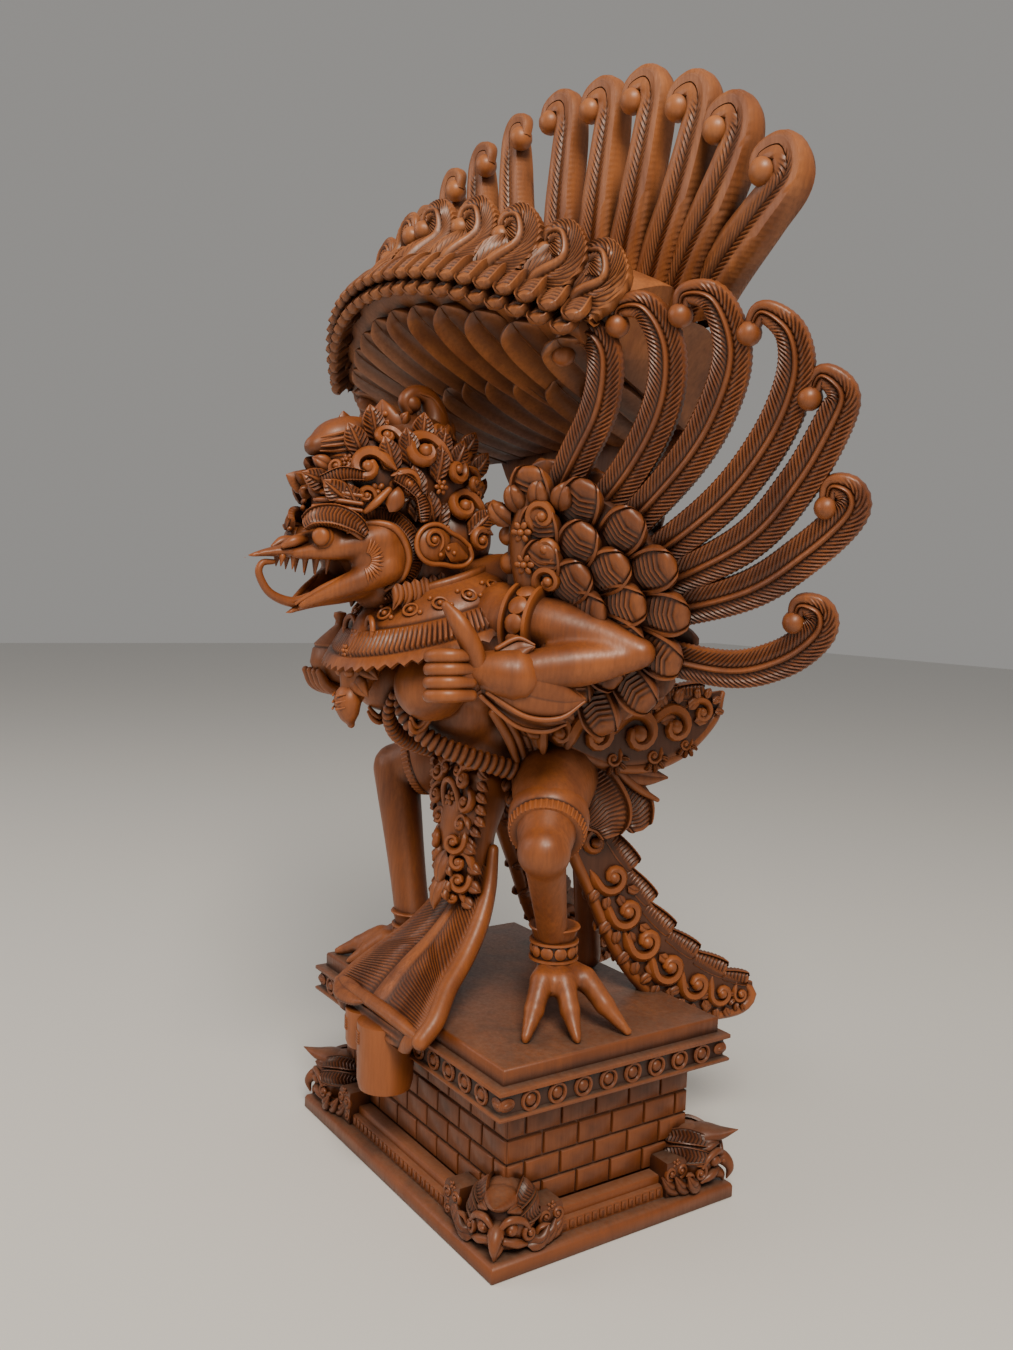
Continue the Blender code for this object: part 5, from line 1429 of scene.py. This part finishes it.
def carved_panel(carving, place, axes, spine, thick, low, scrolls, leaves, hand):
    """A cloth panel carved on both faces: its ground, scrolls, a rolled lower edge and leaf tips above."""
    blade(carving, [place(s, z) for s, z, w in spine], [w * UNIT for s, z, w in spine], axes[2], thick * UNIT,
          section=GROUND_SHEET, count=40)
    rod(carving, [place(s, z) for s, z in low], [0.017 * UNIT] * (len(low) - 1) + [0.008 * UNIT], 10, 60,
        axes[2], 1.3)
    for way in (1, -1):
        out = axes[2] * way
        for s, z, size, angle in scrolls:
            toward = heading(angle, *axes[:2])
            curl(carving, place(s, z, thick * 0.42 * way), out, toward, size * UNIT, 0.95, 0.34, hand * way,
                 0.20, 0.38)
            for step in range(4):
                ray = heading(angle + (20 + 36 * step) * hand, *axes[:2])
                root = place(s, z, thick * 0.42 * way) + ray * size * 1.15 * UNIT
                bend = np.cross(out, ray) * hand * way * size * 0.22 * UNIT
                blade(carving,
                      [root, root + ray * size * 0.40 * UNIT + out * 0.004 * UNIT,
                       root + ray * size * 0.78 * UNIT + bend],
                      [size * 0.26 * UNIT, size * 0.32 * UNIT, size * 0.05 * UNIT], out, 0.020 * UNIT,
                      section=LEAF, count=6)
    for s, z, length, angle in leaves:
        ray = heading(angle, *axes[:2])
        root = place(s, z)
        blade(carving,
              [root - ray * length * 0.55 * UNIT, root, root + ray * length * 0.42 * UNIT,
               root + ray * length * 0.5 * UNIT],
              [length * share * UNIT for share in (0.20, 0.27, 0.26, 0.16)], axes[2], thick * 1.25 * UNIT,
              0.0021, section=SCALE, slope=0.1, teeth=0.1)


def coat_tail(carving, side):
    """The long carved coat tail at one side, whose rounded end curls up behind the plinth."""
    place, axes = panel(side, (0.180, 0.130), (0.22, 0.97))
    spine = ((-0.030, 1.020, 0.050), (-0.025, 0.900, 0.062), (0.050, 0.765, 0.068), (0.125, 0.645, 0.072),
             (0.205, 0.545, 0.076), (0.305, 0.470, 0.074), (0.410, 0.432, 0.056), (0.500, 0.440, 0.020))
    low = ((-0.085, 1.000), (-0.085, 0.900), (0.000, 0.725), (0.062, 0.600), (0.135, 0.500), (0.220, 0.420),
           (0.330, 0.382), (0.430, 0.380), (0.480, 0.396), (0.496, 0.428), (0.478, 0.452))
    scrolls = ((-0.010, 0.880, 0.040, 60), (0.045, 0.785, 0.046, 200), (0.090, 0.690, 0.048, 190),
               (0.150, 0.605, 0.050, 190), (0.225, 0.530, 0.050, 180), (0.310, 0.474, 0.046, 170),
               (0.392, 0.440, 0.038, 160), (0.455, 0.430, 0.024, 150))
    leaves = ((0.010, 0.940, 0.110, -66), (0.075, 0.850, 0.110, -48), (0.130, 0.752, 0.110, -46),
              (0.192, 0.662, 0.105, -40), (0.268, 0.588, 0.105, -32), (0.358, 0.524, 0.105, -24),
              (0.440, 0.480, 0.080, -14))
    carved_panel(carving, place, axes, spine, 0.034, low, scrolls, leaves, 1)


def scarf(carving, side):
    """The broad carved scarf end that sweeps back from the hip."""
    place, axes = panel(side, (0.225, -0.050), (0.2, 0.98))
    spine = ((-0.050, 1.225, 0.030), (0.060, 1.200, 0.072), (0.190, 1.180, 0.090), (0.320, 1.192, 0.082),
             (0.420, 1.232, 0.048), (0.478, 1.272, 0.010))
    low = ((-0.060, 1.225), (0.045, 1.135), (0.205, 1.084), (0.345, 1.112), (0.445, 1.200), (0.478, 1.272))
    scrolls = ((0.000, 1.178, 0.044, 200), (0.100, 1.172, 0.060, 170), (0.218, 1.174, 0.062, 150),
               (0.325, 1.190, 0.052, 140), (0.405, 1.226, 0.034, 130), (0.155, 1.112, 0.022, 20),
               (0.270, 1.116, 0.022, 10), (0.362, 1.144, 0.018, 0), (0.160, 1.228, 0.026, 220),
               (0.275, 1.238, 0.024, 210))
    leaves = [(-0.010 + 0.075 * number, 1.258 + 0.004 * number, 0.095, 14 - 2 * number)
              for number in range(6)]
    carved_panel(carving, place, axes, spine, 0.044, low, scrolls, leaves, -1)


def lappets(carving, side):
    """The pleated cloth that falls over the hip and ends in two rounded, hatched lappets."""
    place, axes = panel(side, (0.200, 0.000), (0.25, 0.97))
    folds = ((((-0.085, 1.190), (-0.020, 1.120), (0.060, 1.040), (0.120, 0.960), (0.135, 0.905)),
              (0.030, 0.062, 0.078, 0.072, 0.030), 0.010, 0.046, 0.2),
             (((0.060, 1.100), (0.140, 1.040), (0.200, 0.975), (0.228, 0.915)), (0.030, 0.052, 0.060, 0.030),
              -0.010, 0.044, -0.2),
             (((-0.110, 1.180), (-0.075, 1.080), (-0.030, 0.995), (0.030, 0.915)),
              (0.020, 0.036, 0.044, 0.020), 0.000, 0.040, 0.0))
    for line, widths, out, thick, slope in folds:
        blade(carving, [place(s, z, out) for s, z in line], [w * UNIT for w in widths], axes[2],
              thick * UNIT, 0.0019, section=SCALE, slope=slope, teeth=0.0)
    crease = ((-0.080, 1.205), (0.000, 1.165), (0.110, 1.100), (0.200, 1.030), (0.262, 0.995))
    rod(carving, [place(s, z, 0.012) for s, z in crease], units(0.012, 0.016, 0.015, 0.012, 0.006), 10, 40)
    tip = ((0.130, 1.085), (0.215, 1.062), (0.290, 1.052))
    for way in (0.010, -0.012):
        blade(carving, [place(s, z, way) for s, z in tip], units(0.026, 0.030, 0.003), axes[2], 0.024 * UNIT,
              section=LEAF, count=14)


def trousers(carving, side, knee):
    """The rolled leg of the breeches above one knee: a swelling sleeve with a hatched hem."""
    hip = np.array(HIP)
    knee = np.array(knee)
    start = spot(side, *(hip + (knee - hip) * 0.52 + (0, 0, 0.014)))
    end = spot(side, *(hip + (knee - hip) * 0.84))
    turned(carving, start, end,
           ((0, 0.060 * UNIT, 0.5), (0.12, 0.090 * UNIT, 0.9), (0.45, 0.099 * UNIT, 1),
            (0.70, 0.096 * UNIT, 1), (0.74, 0.091 * UNIT, 0.1), (0.80, 0.093 * UNIT, 0.8),
            (0.97, 0.088 * UNIT, 0.9), (1.0, 0.070 * UNIT, 0.2)), 48)
    across, front = steady_frames(np.array([start, end]))[1:]
    for number in range(44):
        out = heading(360 * number / 44, across[0], front[0])
        high = start + (end - start) * 0.80 + out * 0.0925 * UNIT
        low = start + (end - start) * 0.96 + out * 0.0880 * UNIT
        rod(carving, [high, low], units(0.0035, 0.0030), 5, 3)


def anklet(carving, side, ankle):
    """A flared cup round one ankle over a band of discs."""
    ankle = np.array(ankle)
    top = spot(side, *(ankle + (0, 0, 0.052)))
    middle = spot(side, *(ankle + (0, 0, 0.016)))
    low = spot(side, *(ankle - (0, 0, 0.034)))
    turned(carving, top, middle,
           ((0, 0.050 * UNIT, 0.4), (0.02, 0.063 * UNIT, 1), (0.12, 0.065 * UNIT, 1),
            (0.35, 0.058 * UNIT, 0.9), (0.8, 0.053 * UNIT, 0.5), (1, 0.050 * UNIT, 0.1)))
    studded(carving, middle, low, 0.055 * UNIT, 10)


# The scrolls on each side of the knot of leaves under the apron: place and size
KNOT = ((0.040, -0.215, 0.880, 0.026), (0.052, -0.205, 0.830, 0.028), (0.046, -0.200, 0.780, 0.026),
        (0.030, -0.205, 0.735, 0.022))


def apron(carving):
    """The filigree apron at the loins: a teardrop loop among scrolls, a toothed edge and a knot of leaves."""
    lean = (0, -0.95, 0.28)
    line = [(0, -0.165, 1.085), (0, -0.180, 0.990), (0, -0.190, 0.900), (0, -0.175, 0.840)]
    drawn(carving, line, (0.110, 0.108, 0.070, 0.020), lean, 0.036, section=PLAIN, count=24)
    loop = [spot(1, 0.036 * math.sin(t), -0.204 - 0.008 * math.cos(t), 0.985 + 0.050 * math.cos(t))
            for t in np.linspace(0, 2 * math.pi, 19)]
    rod(carving, loop, [0.0085 * UNIT] * 19, 8, 36, ends=False)
    flower(carving, spot(1, 0, -0.208, 0.988), lean, 0.022 * UNIT)
    for side in (-1, 1):
        for x, z, size, angle, hand in ((0.062, 1.045, 0.026, 90, 1), (0.070, 0.985, 0.024, 60, -1),
                                        (0.052, 0.928, 0.022, 30, 1), (0.024, 0.885, 0.018, 20, -1),
                                        (0.030, 1.062, 0.018, 100, -1)):
            toward = heading(angle, (side, 0, 0), (0, 0, 1))
            curl(carving, spot(side, x, -0.202, z), lean, toward, size * 1.15 * UNIT, 1.0, 0.36, hand * side)
        for number in range(7):
            z = 1.070 - 0.030 * number
            x = np.interp(z, (0.86, 0.95, 1.08), (0.040, 0.100, 0.108))
            small_leaf(carving, side, (x, -0.185, z), (x + 0.030, -0.180, z - 0.016), 0.014, lean)
    limb(carving, [(0, -0.120, 1.000), (0, -0.150, 0.900), (0, -0.140, 0.800)], [0.080, 0.074, 0.060])
    for side in (-1, 1):
        for number, (x, y, z, size) in enumerate(KNOT):
            curl(carving, spot(side, x, y, z), (side * 0.5, -0.85, 0.2), (side, 0, 0.3), size * 1.15 * UNIT,
                 1.0, 0.36, side * (1 if number % 2 else -1))
            small_leaf(carving, side, (x + 0.018, y + 0.020, z - 0.005), (x + 0.052, y + 0.034, z - 0.022),
                       0.018, (side * 0.4, -0.85, 0.2))
    crest_leaf(carving, spot(1, 0, -0.205, 0.850), spot(1, 0, -0.232, 0.760), 0.032, lean)
    crest_leaf(carving, spot(1, 0, -0.210, 0.790), spot(1, 0, -0.246, 0.700), 0.030, lean)


# The sash from the knot to the front edge of the plinth: height, half-width and place
SASH = ((0.860, 0.066, -0.125), (0.770, 0.088, -0.148), (0.690, 0.114, -0.190), (0.620, 0.144, -0.248),
        (0.560, 0.178, -0.318), (0.505, 0.215, -0.372), (0.474, 0.232, -0.398))


def sash(carving):
    """The long sash, cut like a broad feather, that sweeps from the loins over the plinth's front edge."""
    line = [spot(1, 0, y, z) for z, w, y in SASH]
    widths = [w * UNIT for z, w, y in SASH]
    blade(carving, line, widths, (0, -0.75, 0.62), 0.038 * UNIT, 0.0020, slope=0.75, teeth=0.0)
    for side, size in ((1, 0.024), (-1, 0.015)):
        edge = [(w, y + 0.012, z - 0.004) for z, w, y in SASH]
        edge[-1] = (0.222, -0.402, 0.462)
        limb(carving, edge, [size * 0.6, size * 0.8, *[size] * 4, size * 0.9], side, 12, 60)
    hem = [(-0.225, -0.400, 0.470), (-0.120, -0.408, 0.478), (0, -0.410, 0.482), (0.120, -0.408, 0.478),
           (0.225, -0.400, 0.464)]
    limb(carving, hem, [0.012, 0.016, 0.018, 0.018, 0.014], 1, 10, 40)
    fold = [(0, -0.398, 0.476), (0, -0.412, 0.446), (0, -0.410, 0.418)]
    drawn(carving, fold, (0.222, 0.206, 0.180), (0, -1, 0), 0.026, 1, barb=0.0030, section=SCALE, slope=0.0,
          teeth=0.0)
    drawn(carving,
          [(-0.215, -0.405, 0.478), (-0.150, -0.418, 0.474), (-0.070, -0.420, 0.476),
           (-0.020, -0.418, 0.480)], (0.014, 0.034, 0.026, 0.003), (0, -0.6, 0.8), 0.020, 1, barb=0.0022,
          section=LEAF, slope=0.9)
    front = -PLINTH_DEPTH / 2 - 0.0030
    for x, radius, low in ((0.0030, 0.0132, -0.0362), (-0.0150, 0.0105, -0.0225)):
        centre = np.array((x, front, PLINTH_HEIGHT))
        turned(carving, centre + (0, 0, -0.004), centre + (0, 0, low),
               ((0, radius * 0.8, 0.8), (0.03, radius, 1), (0.85, radius * 0.97, 1),
                (0.97, radius * 0.90, 1), (1, radius * 0.7, 0.5)), 28)
        for number in range(5):
            level = -0.009 - 0.0012 * number
            rod(carving,
                [centre + (radius * math.sin(t), -radius * math.cos(t), level)
                 for t in np.linspace(-1.1, -0.1, 6)], [0.00045] * 6, 5, 8)


def loin_cloth(carving):
    """The cloth below the waist: the seat, coat tails, lappets, breeches, anklets, leaves and the apron."""
    lump(carving, 0, 0.095, 1.010, (0.185, 0.140, 0.100))
    for side, knee, ankle in LEGS:
        coat_tail(carving, side)
        lappets(carving, side)
        trousers(carving, side, knee)
        anklet(carving, side, ankle)
        for number in range(8):
            z = 1.080 - 0.034 * number
            y = -0.120 + 0.012 * number
            small_leaf(carving, side, (0.128, y, z), (0.136, y - 0.024, z - 0.026), 0.016,
                       (side * 0.3, -0.9, 0.1))
    apron(carving)


def scarf_ends(carving):
    """The broad carved scarf ends at both hips."""
    scarf(carving, 1)
    scarf(carving, -1)


def linked(tree, kind, **inputs):
    """A new shader node with these inputs, each a value or the output of another node."""
    node = tree.nodes.new(kind)
    for name, value in inputs.items():
        socket = node.inputs[name.replace("_", " ")]
        if isinstance(value, bpy.types.NodeSocket):
            tree.links.new(value, socket)
        else:
            socket.default_value = value
    return node


def mixed(tree, share, first, second, blend="MIX"):
    """The colour between two others, each a colour or the output of another node."""
    node = tree.nodes.new("ShaderNodeMix")
    node.data_type = "RGBA"
    node.blend_type = blend
    for socket, value in ((node.inputs[0], share), (node.inputs[6], first), (node.inputs[7], second)):
        if isinstance(value, bpy.types.NodeSocket):
            tree.links.new(value, socket)
        else:
            socket.default_value = value
    return node.outputs[2]


def spread(tree, value, low, high, first=0.0, last=1.0):
    """The value, spread from low to high over first to last."""
    node = linked(tree, "ShaderNodeMapRange", Value=value)
    for name, number in (("From Min", low), ("From Max", high), ("To Min", first), ("To Max", last)):
        node.inputs[name].default_value = number
    return node.outputs[0]


def wood(name, warm, deep, dark, grain=(60, 60, 7), roughness=0.42, dust=0.0):
    """Waxed wood: long grain, darker streaks, painted shade in the hollows and cuts together with their
    patina, paler worn crests and dust on ledges.
    """
    made = bpy.data.materials.new(name)
    made.use_nodes = True
    tree = made.node_tree
    shader = tree.nodes["Principled BSDF"]
    place = linked(tree, "ShaderNodeTexCoord").outputs["Object"]
    stretched = linked(tree, "ShaderNodeMapping", Vector=place, Scale=grain).outputs[0]
    broad = linked(tree, "ShaderNodeTexNoise", Vector=stretched, Scale=1.1, Detail=3.0, Roughness=0.55,
                   Distortion=0.6)
    fine = linked(tree, "ShaderNodeTexNoise", Vector=stretched, Scale=11.0, Detail=4.0, Roughness=0.65)
    blotch = linked(tree, "ShaderNodeTexNoise", Vector=place, Scale=28.0, Detail=2.0)
    colour = mixed(tree, spread(tree, broad.outputs[0], 0.36, 0.66), (*deep, 1), (*warm, 1))
    colour = mixed(tree, spread(tree, fine.outputs[0], 0.35, 0.70, 0.0, 0.42), colour, (*dark, 1))
    colour = mixed(tree, spread(tree, blotch.outputs[0], 0.40, 0.70, 0.0, 0.35), colour, (*warm, 1))
    relief = tree.nodes.new("ShaderNodeAttribute")
    relief.attribute_name = "relief"
    # Painted shade: the colour darkens towards the dark tone where ambient occlusion finds a hollow, standing
    # for the shade in the recesses together with their patina.
    painted_shade_occlusion = linked(tree, "ShaderNodeAmbientOcclusion", Distance=0.009)
    painted_shade_occlusion.samples = 6
    shade = spread(tree, painted_shade_occlusion.outputs["AO"], 0.30, 0.92, 0.95, 0.0)
    colour = mixed(tree, shade, colour, (*[c * 0.55 for c in dark], 1))
    # Painted shade: points with a low relief, the cuts and recesses, are painted darker so that they read as
    # deep.
    colour = mixed(tree, spread(tree, relief.outputs["Fac"], 0.15, 0.75, 0.82, 0.0), colour,
                   (*[c * 0.6 for c in dark], 1))
    worn = spread(tree, linked(tree, "ShaderNodeNewGeometry").outputs["Pointiness"], 0.52, 0.60, 0.0, 0.45)
    colour = mixed(tree, worn, colour, (*[min(1, c * 1.35) for c in warm], 1))
    if dust:
        normal = linked(tree, "ShaderNodeSeparateXYZ",
                        Vector=linked(tree, "ShaderNodeNewGeometry").outputs["Normal"])
        speckle = linked(tree, "ShaderNodeTexNoise", Vector=place, Scale=420.0, Detail=3.0)
        lying = tree.nodes.new("ShaderNodeMath")
        lying.operation = "MULTIPLY"
        tree.links.new(spread(tree, normal.outputs["Z"], 0.75, 0.98, 0.0, dust), lying.inputs[0])
        tree.links.new(spread(tree, speckle.outputs[0], 0.30, 0.65, 0.55, 1.0), lying.inputs[1])
        colour = mixed(tree, lying.outputs[0], colour, (0.42, 0.36, 0.29, 1))
    tree.links.new(colour, shader.inputs["Base Color"])
    tree.links.new(spread(tree, fine.outputs[0], 0.3, 0.7, roughness - 0.05, roughness + 0.14),
                   shader.inputs["Roughness"])
    bump = linked(tree, "ShaderNodeBump", Height=fine.outputs[0], Strength=0.16, Distance=0.0004)
    tree.links.new(bump.outputs[0], shader.inputs["Normal"])
    shader.inputs["Specular IOR Level"].default_value = 0.42
    shader.inputs["Coat Weight"].default_value = 0.12
    shader.inputs["Coat Roughness"].default_value = 0.28
    return made


def camera():
    """The photograph's camera."""
    data = bpy.data.cameras.new("camera")
    longest = max(PHOTO_SIZE)
    data.lens = PHOTO_FOCAL / longest * data.sensor_width
    data.clip_start = 0.01
    obj = bpy.data.objects.new("camera", data)
    back = Vector((math.sin(CAMERA_AZIMUTH) * math.cos(CAMERA_ELEVATION),
                   -math.cos(CAMERA_AZIMUTH) * math.cos(CAMERA_ELEVATION), math.sin(CAMERA_ELEVATION)))
    right = Vector((math.cos(CAMERA_AZIMUTH), math.sin(CAMERA_AZIMUTH), 0))
    up = back.cross(right)
    turned = Matrix((right, up, back)).transposed() @ Matrix.Rotation(CAMERA_ROLL, 3, "Z")
    obj.matrix_world = Matrix.Translation(at(*CAMERA_PLACE)) @ turned.to_4x4()
    bpy.context.scene.collection.objects.link(obj)
    bpy.context.scene.camera = obj


def light(name, place, size, power, colour):
    """A soft rectangular light that looks at the middle of the statue."""
    data = bpy.data.lights.new(name, "AREA")
    data.size = size
    data.energy = power
    data.color = colour
    obj = bpy.data.objects.new(name, data)
    obj.location = place
    obj.rotation_euler = (Vector((0, 0, STATUE_HEIGHT * 0.5))
                          - obj.location).to_track_quat("-Z", "Y").to_euler()
    bpy.context.scene.collection.objects.link(obj)


def studio():
    """A plain pale floor, two soft lights and an even sky."""
    mesh = bpy.data.meshes.new("floor")
    mesh.from_pydata([(-4, -4, 0), (4, -4, 0), (4, 4, 0), (-4, 4, 0)], [], [(0, 1, 2, 3)])
    floor = bpy.data.objects.new("floor", mesh)
    bpy.context.scene.collection.objects.link(floor)
    plain = bpy.data.materials.new("floor")
    plain.use_nodes = True
    plain.node_tree.nodes["Principled BSDF"].inputs["Base Color"].default_value = (0.72, 0.71, 0.69, 1)
    plain.node_tree.nodes["Principled BSDF"].inputs["Roughness"].default_value = 0.9
    mesh.materials.append(plain)
    light("window", (1.00, -0.55, 1.35), 0.6, 30, (1.0, 0.90, 0.76))
    light("room", (-0.7, -1.2, 0.9), 1.0, 6, (1.0, 0.95, 0.90))
    world = bpy.data.worlds.new("sky")
    world.use_nodes = True
    world.node_tree.nodes["Background"].inputs["Color"].default_value = (1.0, 0.97, 0.93, 1)
    world.node_tree.nodes["Background"].inputs["Strength"].default_value = 0.30
    bpy.context.scene.world = world


camera()
studio()
WOODS = {"plinth": wood("plinth_wood", (0.190, 0.052, 0.0125), (0.100, 0.026, 0.0068),
                        (0.034, 0.0090, 0.0030), dust=0.12),
         "figure": wood("figure_wood", (0.300, 0.086, 0.0190), (0.165, 0.044, 0.0105),
                        (0.052, 0.0140, 0.0045)),
         "wing": wood("wing_wood", (0.285, 0.084, 0.0200), (0.150, 0.041, 0.0105), (0.048, 0.0130, 0.0045)),
         "tail": wood("tail_wood", (0.380, 0.130, 0.0380), (0.225, 0.070, 0.0210), (0.070, 0.0210, 0.0075))}
BODY = skin()
FACE = face()
CORE = crown_core()
HEAD_SURFACE = surface_of(FACE, CORE)
for mesh in (BODY, FACE, CORE):
    placed(mesh.name, mesh, WOODS["figure"], "figure")
for name, build in (("face_details", face_details), ("crown_ornaments", crown_ornaments)):
    carved(build, HEAD_SURFACE).made("figure_" + name, WOODS["figure"], "figure")
for name, build in (("collar", collar), ("belts", belts), ("fingers", fingers), ("loin_cloth", loin_cloth),
                    ("scarf_ends", scarf_ends), ("sash", sash), ("nectar_pot", nectar_pot)):
    carved(build).made("figure_" + name, WOODS["figure"], "figure")
for name, build in (("block", plinth_block), ("frieze", plinth_frieze), ("skirting", plinth_skirting),
                    ("guardians", plinth_guardians)):
    carved(build).made("plinth_" + name, WOODS["plinth"], "plinth")
for side, mirrored in (("left", False), ("right", True)):
    node = "wing_" + side
    carved(wing_feathers).made(node + "_feathers", WOODS["wing"], node, mirrored)
    carved(wing_board).made(node + "_board", WOODS["wing"], node, mirrored)
carved(canopy).made("tail_canopy", WOODS["tail"], "tail")
carved(tall_feathers).made("tail_tall_feathers", WOODS["tail"], "tail")
carved(short_feathers).made("tail_short_feathers", WOODS["tail"], "tail")
